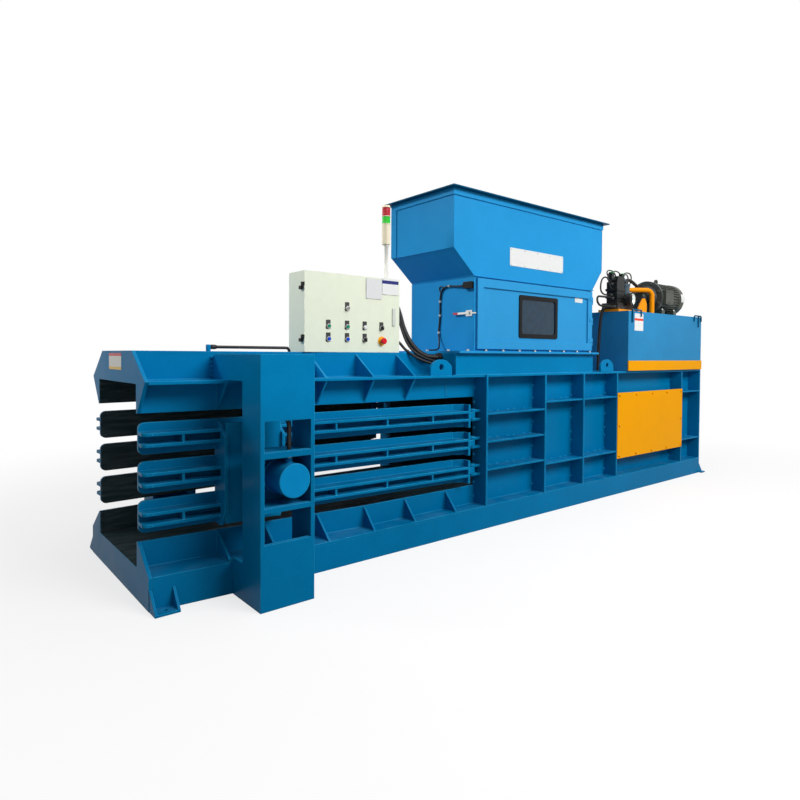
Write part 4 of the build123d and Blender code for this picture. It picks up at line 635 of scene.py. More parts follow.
gauge_at, gauge_front = (1.451, 1.735), -0.560
gauge_face, tree, shader = grained("gauge_face", (0.03, 0.03, 0.032), 0.35, 500, 0.1)
x, y, z = object_axes(tree)
dial, reach, aside, above = disc_mask(tree, x, z, gauge_at, 0.0535)
on_dial = times(tree, dial, within(tree, y, gauge_front + 0.005, gauge_front + 0.0065))
repaint(tree, shader, on_dial, (0.83, 0.83, 0.79), roughness=0.5)
turn = maths(tree, "ARCTAN2", aside, above)
beat = maths(tree, "COSINE", times(tree, turn, 24.0))
ticks = times(tree, maths(tree, "GREATER_THAN", beat, 0.86), within(tree, reach, 0.040, 0.048))
arc = maths(tree, "ADD", ticks, within(tree, reach, 0.0482, 0.0492), True)
swept = maths(tree, "LESS_THAN", maths(tree, "ABSOLUTE", turn), math.radians(135.2))
repaint(tree, shader, times(tree, arc, swept, on_dial), (0.02, 0.02, 0.02))
needle_black = grained("needle_black", (0.02, 0.02, 0.02))[0]
print("window, latch and gauge:", pane_dark.name, latch_steel.name, gauge_face.name)

# %% [markdown]
# ## Power unit finishes
# The motor is sprayed dark olive grey over castings, the valves are phosphated near-black, and the filter's
# head is grey-blue.

# %% Motor, pump and valve finishes
motor_olive, tree, shader = grained("motor_olive", (0.066, 0.074, 0.060), 0.42, 260, 0.3, depth=0.0012, strength=0.5)
x, y, z = object_axes(tree)
lifting_eye = times(tree, within(tree, x, 1.97, 2.3), maths(tree, "GREATER_THAN", z, 1.955))
repaint(tree, shader, lifting_eye, (0.04, 0.045, 0.045))
valve_black, tree, shader = grained("valve_black", (0.017, 0.02, 0.02), 0.4, 240, 0.3, depth=0.001, strength=0.4)
x, y, z = object_axes(tree)
bowl = times(tree, disc_mask(tree, x, y, (1.540, -0.435), 0.0445)[0], maths(tree, "GREATER_THAN", z, 1.702))
repaint(tree, shader, bowl, (0.06, 0.10, 0.13), roughness=0.35)
repaint(tree, shader, within(tree, z, 1.639, 1.7005), (0.035, 0.032, 0.028))
rod_chrome = grained("rod_chrome", (0.72, 0.72, 0.7), 0.12, 700, 0.04, 1.0)[0]
print("power unit finishes:", motor_olive.name, valve_black.name)

# %% [markdown]
# ## Who wears what
# Each engineering part keeps its mesh and takes one of the finishes above.

# %% Dress the parts
dress = {
    body_blue: """base_frame side_walls ribs top_plate roof_box discharge_plates near_column far_column anchor_feet
        lifting_lugs gate_hinges main_ram main_cylinder feed_collar""",
    gate_blue: "near_gate far_gate",
    cylinder_blue_with_painted_light: "squeeze_cylinders",
    hopper_blue: "hopper_lower hopper_upper",
    door_blue: "hopper_door door_hinges",
    tank_blue: "tank",
    warm_yellow: "access_cover tank_band",
    pipe_orange: "pipework",
    cabinet_cream: "cabinet_box cabinet_door",
    latch_grey: "cabinet_latch",
    bezel_ring: "control_bezels",
    cap_green: "green_button_1 green_button_2",
    cap_white: "white_button",
    cap_blue: "blue_button_1 blue_button_2",
    cap_red: "stop_button",
    knob_black: "selector_1 selector_2",
    key_metal: "key_switch",
    tower_cream: "tower_stem",
    lens_green: "lamp_green",
    lens_red: "lamp_red",
    moulded_black: "window_frame interlock_switch",
    pane_dark: "window_glass",
    latch_steel: "latch_base latch_lever",
    motor_olive: "motor motor_fan",
    iron_dark: "pump_set",
    valve_black: "manifold",
    gauge_face: "gauge",
    needle_black: "gauge_needle",
    rod_chrome: "near_rod far_rod",
    hose_black: "near_hose far_hose conduit interlock_cable tank_hose squeeze_pipe",
}
for finish, names in dress.items():
    for name in names.split():
        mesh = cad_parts[name].data
        mesh.materials.clear()
        mesh.materials.append(finish)
undressed = [name for name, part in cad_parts.items() if not part.data.materials]
print("dressed", len(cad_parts) - len(undressed), "parts, left:", undressed)

# %% [markdown]
# ## Bolts and screws
# Hexagon bolts hold the hopper's base flange to the feed collar, small ones hold the yellow cover, the
# motor's feet, the pump's bellhousing, the terminal box and the flange of the main cylinder.

# %% Bolts
flange_line = [(x, -0.607, flange_top) for x in np.linspace(-0.740, 0.700, 9)]
flange_line += [(-0.748, y, flange_top) for y in np.linspace(-0.430, 0.010, 3)]
bolts("flange_bolts", flange_line, (0, 0, 1), 0.018, zinc_steel)
cover_front, cover_x = -0.614, np.linspace(1.165, 2.295, 5)
cover_spots = [(x, cover_front, z) for x in cover_x for z in (0.335, 0.869)]
cover_spots += [(x, cover_front, 0.602) for x in cover_x[[0, -1]]]
bolts("cover_bolts", cover_spots, (0, -1, 0), 0.016, warm_yellow)
foot_spots = [(x, motor_axis[0] + dy, tank_top + 0.045) for x in (1.975, 2.205) for dy in (-0.110, 0.110)]
bolts("motor_bolts", foot_spots, (0, 0, 1), 0.022, zinc_steel)


def bolt_circle(x, centre, radius):
    """Eight places round a centre (y, z) on the plane at x"""
    around = np.arange(8) * math.pi / 4 + math.pi / 8
    return [(x, centre[0] + radius * math.cos(a), centre[1] + radius * math.sin(a)) for a in around]


bell_spots, main_spots = bolt_circle(1.872, motor_axis, 0.142), bolt_circle(1.350, (0.0, 0.612), 0.145)
bolts("bell_bolts", bell_spots, (-1, 0, 0), 0.020, motor_olive)
bolts("main_bolts", main_spots, (-1, 0, 0), 0.026, zinc_steel)
box_spots = [(x, -0.6615, z) for x in (1.924, 2.046) for z in (1.724, 1.836)]
bolts("box_screws", box_spots, (0, -1, 0), 0.012, motor_olive)
print("bolts set:", len(flange_line + cover_spots + foot_spots + bell_spots + main_spots + box_spots))

# %% [markdown]
# ## Weld beads of the body
# The lines below are the corners where one plate meets another: ribs and gussets on the wall and the
# floor, the stiffeners, and the collar and the roof box on the top plate. The far side has the same ones.

# %% Beads on the body
rib_half, gusset_half, portal_x = 0.008, 0.006, -2.406
beads, dashes = [], []
for x in ribs_at:
    for side in (x - rib_half, x + rib_half):
        dashes.append(((side, -skin_half, floor_top), (side, -skin_half, plate_low)))
        for level in (floor_top, plate_low):
            beads.append(((side, -skin_half, level), (side, -body_half + 0.005, level)))
for low, high in ((-0.540, 0.120), (0.120, 0.630), (0.630, 1.135), (2.325, 2.722)):
    low_side, high_side = low + rib_half, high - rib_half
    for level in (floor_top, plate_low):
        beads.append(((low_side, -skin_half, level), (high_side, -skin_half, level)))
    for level in ((0.409, 0.606, 0.802) if low == ribs_at[0] else (0.376, 0.858)):
        dashes.append(((low_side, -skin_half, level + 0.006), (high_side, -skin_half, level + 0.006)))
for x in (-2.151, -1.831, -1.511, -1.189, -0.827, portal_x):
    wall = taper(x, skin_half, wall_slope)
    toe = taper(x, body_half, base_slope) - 0.006
    for side in (x - gusset_half, x + gusset_half):
        beads.append(((side, -wall, floor_top), (side, -wall, 0.288)))
        beads.append(((side, -wall, floor_top), (side, -toe, floor_top)))
for x in (-1.831, -1.511, -1.189, -0.827, portal_x):
    wall = taper(x, skin_half, wall_slope)
    roof_wall = taper(x, 0.397, roof_slope)
    toe = taper(x, shelf_half, shelf_slope) - 0.006
    for side in (x - gusset_half, x + gusset_half):
        beads.append(((side, -wall, 0.925), (side, -wall, plate_low)))
        if x != portal_x:
            beads.append(((side, -roof_wall, top_level), (side, -toe, top_level)))
            beads.append(((side, -roof_wall, top_level), (side, -roof_wall, 1.216)))
beads += [
    ((-0.840, -0.593, top_level), (0.774, -0.593, top_level)),
    ((-0.836, -0.593, top_level), (-0.836, -0.400, top_level)),
    ((-1.510, -0.397, top_level), (-0.848, -0.397, top_level)),
    ((-2.110, -0.349, top_level), (-1.510, -0.397, top_level)),
    ((-1.510, -skin_half, floor_top), (-0.548, -skin_half, floor_top)),
    ((-2.110, -0.438, floor_top), (-1.510, -skin_half, floor_top)),
    ((-2.784, -0.382, floor_top), (portal_x, -0.413, floor_top)),
    ((-2.784, -0.292, top_level), (portal_x, -0.323, top_level)),
]
portal_seam = [((-2.402, -0.3265, 1.084), (-2.402, -0.3265, 1.222))]
dashes = stitches(dashes) + stitches(portal_seam, 0.020, 0.004)
piece("stitch_beads", bead_mesh(dashes + mirrored(dashes), 0.019), "frame", weld_blue)
body_welds = bead_mesh(beads + mirrored(beads), 0.008)
piece("body_beads", body_welds, "frame", weld_blue)
print("body beads:", len(beads) * 2, "lines,", len(body_welds[1]), "faces")

# %% [markdown]
# ## Beads of the hopper, the columns and the gates
# The hopper's corners are welded edge to edge and ground flush only in places, so a slightly uneven bead
# still shows. Each gate finger has beads along its webs, and those turn with the gate.

# %% More beads
flare_left, flare_right = hopper_left - 0.200, hopper_right + 0.140
hopper_beads = [
    ((flare_left, hopper_front, flare_level), (flare_left, hopper_front, 2.280)),
    ((flare_right, hopper_front, flare_level), (flare_right, hopper_front, 2.280)),
    ((hopper_left, hopper_front, seam_level), (flare_left, hopper_front, flare_level)),
    ((hopper_right, hopper_front, seam_level), (flare_right, hopper_front, flare_level)),
    ((hopper_left, hopper_front, flange_top), (hopper_left, hopper_front, seam_level)),
    ((hopper_left, hopper_front, flange_top), (hopper_left, 0.075, flange_top)),
    ((hopper_right, hopper_front, flange_top), (hopper_right, 0.075, flange_top)),
    ((flare_left, hopper_front, flare_level), (flare_left, 0.070, flare_level)),
    ((hopper_left - 0.002, hopper_front, seam_level), (hopper_left - 0.002, 0.070, seam_level)),
]
piece("hopper_beads", bead_mesh(hopper_beads, 0.006), "frame", hopper_blue)
column_beads = []
for x in (-2.384, -2.126):
    for z in (0.467, 0.483, 0.727, 0.743):
        column_beads.append(((x, -0.880, z), (x, -0.700, z)))
for z in (0.315, 0.463, 0.488, 0.720, 0.750, 0.897):
    column_beads.append(((-2.380, -0.881, z), (-2.130, -0.881, z)))
piece("column_beads", bead_mesh(column_beads + mirrored(column_beads), 0.006), "frame", weld_blue)
tilt = math.atan(gate_slope)


def on_gate(run, out, level):
    """A point of the near gate: run along the finger, out across it, turned with the gate's rest tilt"""
    along = np.array([math.cos(tilt), -math.sin(tilt), 0.0])
    outward = np.array([math.sin(tilt), math.cos(tilt), 0.0])
    return np.array([*gate_pivot, level]) + along * run + outward * out


gate_beads = []
for level in finger_levels:
    for up in (-0.019, 0.019, -0.035, 0.035):
        gate_beads.append((on_gate(-2.160, 0.030, level + up), on_gate(-0.160, 0.030, level + up)))
    for web in (-2.002, -1.640, -1.127, -0.761, -0.396):
        for side in (0.0, 0.012):
            gate_beads.append((on_gate(web + side, 0.029, level - 0.018), on_gate(web + side, 0.029, level + 0.018)))
for run in (-1.812, -1.796, -1.497, -1.481):
    for level in (0.480, 0.530, 0.673, 0.724):
        gate_beads.append((on_gate(run, 0.028, level), on_gate(run, -0.054, level)))
for body, lines in (("near_gate_body", gate_beads), ("far_gate_body", mirrored(gate_beads))):
    piece(body.replace("_body", "_beads"), bead_mesh(lines, 0.006), body, weld_blue)
print("hopper, column and gate beads laid:", len(hopper_beads), len(column_beads) * 2, len(gate_beads) * 2)

# %% [markdown]
# ## Round beads on the squeeze cylinders
# The end cap of each squeeze cylinder is welded round its edge. The bead is a torus with ripples: a small
# circle carried round a large one, its radius rising and falling sixty times on the way.

# %% Round beads
def ring_bead(centre, radius, width, direction, depth=0.15):
    """Point (i, j): large angle a_i, small angle b_j, small radius width / 2 (1 + depth cos(ripples a_i))"""
    ripples = 60
    large = np.arange(ripples * 4) * 2 * math.pi / (ripples * 4)
    small = np.arange(8) * 2 * math.pi / 8
    thin = width / 2 * (1 + depth * np.cos(ripples * large))[:, None]
    reach = radius + thin * np.cos(small)[None]
    ring = [reach * np.cos(large)[:, None], reach * np.sin(large)[:, None], thin * np.sin(small)[None]]
    points = np.stack(ring, axis=2).reshape(-1, 3) @ turned_to(direction).T + np.asarray(centre)
    return points, grid_quads(len(large), 8, closed_rows=True)[:, ::-1]


end_rings = joined([
    ring_bead((squeeze_x, side * squeeze_end, squeeze_level), 0.0815, 0.007, (0, side, 0)) for side in (-1, 1)
])
piece("cylinder_beads", end_rings, "frame", weld_blue)
print("round beads:", len(end_rings[1]), "faces")

# %% [markdown]
# ## Bare plates
# Where a machine like this carries its plates, this one has bare ones: thin rounded sheets with a narrow
# raised border. The large front plate also has rivets. A plain coloured band stands for a printed field.

# %% Plates
def rounded_outline(width, height, corner):
    """Points round a rectangle whose corners are quarter circles"""
    angle = np.linspace(0, math.pi / 2, 6)
    quarter = np.stack([np.cos(angle), np.sin(angle)], axis=1) * corner
    centres = np.array([[1, 1], [-1, 1], [-1, -1], [1, -1]]) * [width / 2 - corner, height / 2 - corner]
    turn = np.array([[0.0, 1.0], [-1.0, 0.0]])
    arcs = []
    for centre in centres:
        arcs.append(quarter + centre)
        quarter = quarter @ turn
    return np.concatenate(arcs)


def soft_box(low, high):
    """A box with chamfered edges: each face ring is pulled in by the corner size near both ends"""
    low, high, corner = np.asarray(low, float), np.asarray(high, float), 0.003
    middle, half = (low + high) / 2, (high - low) / 2
    rings = []
    for height, inset in ((-1, corner), (-1, 0.0), (1, 0.0), (1, corner)):
        z = half[2] * height - (corner * height if inset == 0.0 else 0.0)
        outline = rounded_outline(2 * (half[0] - inset), 2 * (half[1] - inset), corner)
        rings.append(np.c_[outline, np.full(len(outline), z)])
    rings.insert(0, np.c_[rings[0][:, :2] * 1e-4, rings[0][:, 2]])
    rings.append(np.c_[rings[-1][:, :2] * 1e-4, rings[-1][:, 2]])
    return np.concatenate(rings) + middle, grid_quads(len(rings), len(rings[0]))


def sheet_plate(name, centre, width, height, finish, body="frame", thick=0.0008, border=0.002, across=(1, 0, 0)):
    """Rings of one outline: back edge, front edge, border's inner edge, sunk field, then the middle"""
    across, up = np.asarray(across, float), np.array([0.0, 0.0, 1.0])
    out = np.cross(across, up)
    corner = min(width, height) * 0.06
    points = []
    for inset, raised in ((0.0, 0.0), (0.0, thick), (border, thick), (border * 1.3, thick * 0.7)):
        outline = rounded_outline(width - 2 * inset, height - 2 * inset, corner)
        points.append(outline[:, :1] * across + outline[:, 1:] * up + out * raised)
    points.append(np.broadcast_to(out * thick * 0.7, points[0].shape))
    shape = np.concatenate(points) + np.asarray(centre), grid_quads(len(points), len(points[0]))
    return piece(name, shape, body, finish, smooth=False)


def field_band(name, base, *bands):
    """A copy of the plate finish with plain bands, each between two heights"""
    material, tree, shader = grained(name, base, 0.35, 400, 0.04)
    for low, high, colour in bands:
        repaint(tree, shader, within(tree, object_axes(tree)[2], low, high), colour)
    return material


blue_field = field_band("blue_field", (0.78, 0.79, 0.77), (1.672, 1.694, (0.012, 0.02, 0.17)))
red_field = field_band("red_field", (0.78, 0.79, 0.79), (1.535, 1.556, (0.75, 0.05, 0.01)))
end_field = field_band("end_field", (0.82, 0.82, 0.76), (1.199, 1.220, (0.6, 0.01, 0.02)),
                       (1.120, 1.142, (0.85, 0.55, 0.05)))
sheet_plate("front_plate", (0.030, hopper_front - 0.0005, 1.9315), 0.638, 0.131, plate_white,
            thick=0.0012, border=0.008)
rivet = [(on_axis, 0.0), (0.006, 0.0), (0.0055, 0.002), (0.003, 0.0035), (on_axis, 0.004)]
rivet_spots = [(x, hopper_front - 0.0015, z) for x in np.linspace(-0.276, 0.336, 5) for z in (1.876, 1.987)]
piece("front_rivets", copies(lathe(rivet, 10), rivet_spots, (0, -1, 0)), "frame", zinc_steel)
sheet_plate("door_plate", (0.560, -0.5914, 1.675), 0.105, 0.056, plate_white, "hopper_door_body", 0.001, 0.003)
sheet_plate("cabinet_plate_left", (-1.365, door_y, 1.633), 0.124, 0.128, plate_white, "cabinet_door_body")
sheet_plate("cabinet_plate_right", (-1.233, door_y, 1.655), 0.134, 0.104, blue_field, "cabinet_door_body")
sheet_plate("tank_plate", (1.448, tank_front - 0.0002, 1.5225), 0.150, 0.155, red_field, thick=0.001)
sheet_plate("end_plate", (-2.8002, 0.017, 1.171), 0.248, 0.088, end_field, across=(0, -1, 0))
print("bare plates: 6, rivets:", len(rivet_spots))

# %% [markdown]
# ## Cabinet hinges
# The cabinet's hinges are die-cast blocks on one pin each. The lower knuckle stays with the box and the
# upper one turns with the door. Each is round about the pin on the side where the other part sweeps past.

# %% Hinge blocks
def prism(outline, low, high):
    """An upright block: the outline (counter-clockwise, x and y) at two heights, closed to its middle"""
    outline = np.asarray(outline, float)
    middle = np.broadcast_to(outline.mean(axis=0), outline.shape)
    levels = ((middle, low), (outline, low), (outline, high), (middle, high))
    rings = [np.c_[ring, np.full(len(outline), z)] for ring, z in levels]
    return np.concatenate(rings), grid_quads(4, len(outline))


hinge_pin, hinge_levels, knuckle = [-1.877, -0.366], (0.081, 0.388), 0.0068
sweep = np.linspace(math.pi, 2 * math.pi, 13)
round_front = np.stack([knuckle * np.cos(sweep), knuckle * np.sin(sweep)], axis=1)
back_block = np.concatenate([round_front, [(0.0073, 0.001), (0.0073, 0.026), (-0.0068, 0.026)]])
front_block = np.concatenate([
    -round_front, [(-0.0068, -0.001), (-0.0068, -0.0195), (0.0073, -0.0195), (0.0073, -0.001)],
])
halves = (("frame", back_block, -0.021, -0.0004), ("cabinet_door_body", front_block, 0.0004, 0.021))
for body, outline, low, high in halves:
    blocks = [prism(outline + hinge_pin, roof_level + level + low, roof_level + level + high) for level in hinge_levels]
    piece("hinge_blocks_" + body, joined(blocks), body, moulded_black, smooth=False)
print("cabinet hinges:", len(hinge_levels), "each in", len(halves), "halves")

# %% [markdown]
# ## Finger tips
# The flanges of each gate finger reach square to its tip. These small corner plates close the clipped
# corner of the flanges and turn with their gate.

# %% Tip plates
tip_thick = 0.016
tip_outline = [(-2.190, -0.005), (-2.190, -0.036), (-2.184, -0.047), (-2.172, -0.0548),
               (-2.138, -0.0548), (-2.150, -0.050), (-2.168, -0.044), (-2.176, -0.005)]
for body, flip in (("near_gate_body", 1.0), ("far_gate_body", -1.0)):
    tips = []
    for level in finger_levels:
        for up in (-0.0351, 0.0191):
            ring = [[on_gate(a, b, level + up + t) for a, b in tip_outline] for t in (0.0, tip_thick)]
            middle = [[np.mean(r, axis=0)] * len(tip_outline) for r in ring]
            rings = np.array([middle[0], ring[0], ring[1], middle[1]]) * [1.0, flip, 1.0]
            quads = grid_quads(4, len(tip_outline))
            tips.append((rings.reshape(-1, 3), quads if flip > 0 else quads[:, ::-1]))
    piece(body.replace("_body", "_tips"), joined(tips), body, gate_blue, smooth=False)
print("tip plates:", 2 * len(tips))

# %% [markdown]
# ## The gauge's rim and glass
# A pressed rim holds the gauge's glass. Both are turned shapes in front of the dial, with the needle
# moving free between dial and glass.

# %% Rim and glass
gauge_centre = (gauge_at[0], gauge_front, gauge_at[1])
rim_profile = [(0.0540, -0.001), (0.0605, -0.001), (0.0612, 0.0005), (0.0600, 0.0022), (0.0570, 0.0028),
               (0.0543, 0.0018), (0.0540, -0.001)]
lathed("gauge_rim", rim_profile, gauge_centre, (0, -1, 0), moulded_black)
clear_pane, _, shader = grained("clear_pane", (0.9, 0.93, 0.93), 0.06, 60, 0.02, strength=0.02)
shader.inputs["Transmission Weight"].default_value = 1.0
shader.inputs["IOR"].default_value = 1.1
glass_profile = [(on_axis, 0.0002), (0.0538, 0.0002), (0.0538, 0.0012), (0.030, 0.0016), (on_axis, 0.0012)]
lathed("gauge_glass", glass_profile, gauge_centre, (0, -1, 0), clear_pane)
print("gauge rim and glass turned")

# %% [markdown]
# ## Hoses and cables
# A hose is one smooth curve whose control points are the route that the engineering model used. Blender's
# NURBS spline rounds every corner, as a real hose does, and the bevel gives it its diameter.

# %% Routes of the cords
def route_curve(name, route, radius=0.0):
    """A curve object of one NURBS spline through the route's control points"""
    curve = bpy.data.curves.new(name, "CURVE")
    curve.dimensions = "3D"
    curve.bevel_depth = radius
    curve.bevel_resolution = 5
    curve.resolution_u = 16
    curve.use_fill_caps = radius > 0
    spline = curve.splines.new("NURBS")
    spline.points.add(len(route) - 1)
    spline.points.foreach_set("co", np.c_[np.asarray(route, float), np.ones(len(route))].ravel())
    spline.order_u = 3
    spline.use_endpoint_u = True
    made = bpy.data.objects.new(name, curve)
    bpy.context.scene.collection.objects.link(made)
    return made


def curve_points(route):
    """Points along the smooth line, read from a curve that has no thickness"""
    plain = route_curve("line", route)
    mesh = bpy.data.meshes.new_from_object(plain)
    points = np.empty(len(mesh.vertices) * 3)
    mesh.vertices.foreach_get("co", points)
    bpy.data.objects.remove(plain)
    bpy.data.meshes.remove(mesh)
    return points.reshape(-1, 3)


def evenly(path, gap):
    """The same line cut into equal steps of about gap"""
    walked = np.concatenate([[0.0], np.cumsum(np.linalg.norm(np.diff(path, axis=0), axis=1))])
    steps = np.linspace(0.0, walked[-1], max(8, int(walked[-1] / gap)))
    return np.stack([np.interp(steps, walked, path[:, k]) for k in range(3)], axis=1)


def length_of(path):
    """The length of a line of points"""
    return float(np.linalg.norm(np.diff(path, axis=0), axis=1).sum())


hose_route = [(-2.219, -0.836, 0.706), (-2.219, -0.836, 0.770), (-2.217, -0.834, 0.840), (-2.216, -0.828, 0.890),
              (-2.246, -0.816, 0.905), (-2.320, -0.810, 0.903), (-2.384, -0.810, 0.901)]
far_route = [(x, -y, z) for x, y, z in hose_route]
cable_route = [(-0.673, -0.485, 1.697), (-0.673, -0.425, 1.697), (-0.669, -0.360, 1.708), (-0.667, -0.300, 1.704),
               (-0.666, -0.261, 1.672), (-0.665, -0.251, 1.607), (-0.664, -0.252, 1.532), (-0.664, -0.249, 1.457),
               (-0.665, -0.238, 1.387), (-0.669, -0.250, 1.327), (-0.693, -0.275, 1.277), (-0.733, -0.310, 1.256),
               (-0.783, -0.325, 1.248), (-0.836, -0.330, 1.248)]
tank_route = [(1.300, -0.430, 1.672), (1.240, -0.430, 1.672), (1.203, -0.420, 1.655), (1.188, -0.405, 1.590),
              (1.192, -0.390, 1.480), (1.196, -0.380, 1.340), (1.194, -0.375, 1.200), (1.194, -0.375, 1.080)]
conduit_route = [(-1.155, -0.290, 1.560), (-1.112, -0.290, 1.560), (-1.086, -0.300, 1.490), (-1.078, -0.325, 1.400),
                 (-1.062, -0.370, 1.310), (-1.022, -0.410, 1.240), (-0.965, -0.432, 1.205), (-0.900, -0.436, 1.198),
                 (-0.836, -0.436, 1.200)]
print("routes of", len([hose_route, far_route, cable_route, tank_route, conduit_route]), "cords")

# %% Cords that are smooth curves
for name, route, radius, lay in (
    ("near_hose", hose_route, 0.011, "loose"),
    ("far_hose", far_route, 0.011, "loose"),
    ("interlock_cable", cable_route, 0.006, "hanging"),
    ("tank_hose", tank_route, 0.014, "hanging"),
):
    cord = route_curve(name + "_cord", route, radius)
    cord.data.materials.append(hose_black)
    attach(cord, "frame")
    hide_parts(name)
    length = length_of(curve_points(route))
    print(name, "is", round(length, 3), "m long")

# %% [markdown]
# ## The corrugated conduit
# The cabinet's wires leave in a corrugated conduit. It is a tube whose radius rises and falls every eight
# millimetres along the smooth line, so its ribs are real shape and catch the light.

# %% Conduit
line = curve_points(conduit_route)
cuts = evenly(line, 0.0027)
ripple = 0.0187 + 0.0013 * np.sin(np.arange(len(cuts)) * 2 * math.pi / 3)
corrugated = capped_tube(cuts, ripple, 20)
conduit = piece("conduit_tube", corrugated, "frame", hose_black)
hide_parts("conduit")
print("conduit:", round(length_of(line), 3), "m,", len(corrugated[1]), "faces")

# %% [markdown]
# ## The pipe on the portal's roof
# The two squeeze cylinders share one steel pipe on the roof. It starts at a small fitting with a black
# sleeve, runs straight, and turns down into the roof by the cabinet. The bend is a quarter circle.

# %% Roof pipe
pipe_y, pipe_level, bend_radius, bend_x, bend_z = -0.300, 1.251, 0.020, -1.944, 1.231
bend_angle = np.linspace(math.pi / 2, 0.0, 10)
bend_run = np.stack([
    bend_x + bend_radius * np.cos(bend_angle),
    np.full(len(bend_angle), pipe_y),
    bend_z + bend_radius * np.sin(bend_angle),
], axis=1)
straight_run = np.linspace((-2.402, pipe_y, pipe_level), (-1.954, pipe_y, pipe_level), 12)
pipe_run = np.concatenate([straight_run, bend_run, [(-1.924, pipe_y, roof_level + 0.0005)]])
sleeve_run = np.linspace((-2.403, pipe_y, pipe_level), (-2.368, pipe_y, pipe_level), 4)
sleeve = capped_tube(sleeve_run, [0.0120, 0.0130, 0.0130, 0.0115])
roof_pipe = piece("roof_pipe", joined([capped_tube(pipe_run, 0.0085), sleeve]), "frame", hose_black)
block = soft_box((-2.422, -0.312, 1.2275), (-2.402, -0.288, 1.264))
fitting = piece("roof_fitting", block, "frame", body_blue, smooth=False)
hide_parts("squeeze_pipe")
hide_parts("squeeze_pipe")
print("roof pipe:", round(length_of(pipe_run), 3), "m")

# %% [markdown]
# ## Ferrules, glands and clips
# Each end of the squeeze hoses is a crimped steel ferrule, each end of the conduit a round gland, and the
# cable on the hopper is held by pale clips.

# %% Ends and clips
ferrule = [(on_axis, 0.0), (0.017, 0.0), (0.017, 0.012), (0.0135, 0.013), (0.0135, 0.018), (0.0125, 0.020),
           (0.0135, 0.023), (0.0125, 0.026), (0.0135, 0.029), (0.0125, 0.032), (0.013, 0.036), (on_axis, 0.0365)]
hose_ends = [route[k] for route in (hose_route, far_route) for k in (0, -1)]
ferrules = copies(lathe(ferrule, 18), hose_ends, [(0, 0, 1), (1, 0, 0)] * 2)
piece("hose_ferrules", ferrules, "frame", zinc_steel)
gland = [(on_axis, 0.0), (0.030, 0.0), (0.030, 0.008), (0.026, 0.010), (0.026, 0.024), (0.0225, 0.028),
         (on_axis, 0.0285)]
glands = copies(lathe(gland, 24), [conduit_route[0], conduit_route[-1]], [(1, 0, 0), (-1, 0, 0)])
piece("conduit_glands", glands, "frame", moulded_black)
cable_line = evenly(curve_points(cable_route), 0.004)
clip_at = [(-0.3465, 1.709), (-0.2555, 1.600), (-0.2495, 1.500), (-0.235, 1.375)]
clip_radii = [0.0066, 0.0088, 0.0090, 0.0088, 0.0066]
clips = []
for y, z in clip_at:
    k = int(np.argmin(np.hypot(cable_line[:, 1] - y, cable_line[:, 2] - z)))
    run = cable_line[k - 2:k + 3]
    stem = np.linspace(run[2], [hopper_left + 0.0005, run[2, 1], run[2, 2]], 4)
    clips += [capped_tube(run, clip_radii, 14), capped_tube(stem, 0.007, 8)]
loop = ring_bead((hopper_left - 0.007, -0.262, 1.692), 0.020, 0.007, (1, 0, 0), depth=0.0)
piece("cable_loop", loop, "frame", hose_black)
piece("cable_clips", joined(clips), "frame", latch_grey)
print("ferrules:", len(hose_ends), "glands: 2, clips:", len(clip_at))

# %% [markdown]
# ## Windows and wires on the valves
# Each solenoid's plug has a green lamp window, and thin wires arch from plug to plug and down behind the
# block. Two cables beside the conduit, the loops at the manifold and the pump's hose are laid the same way.

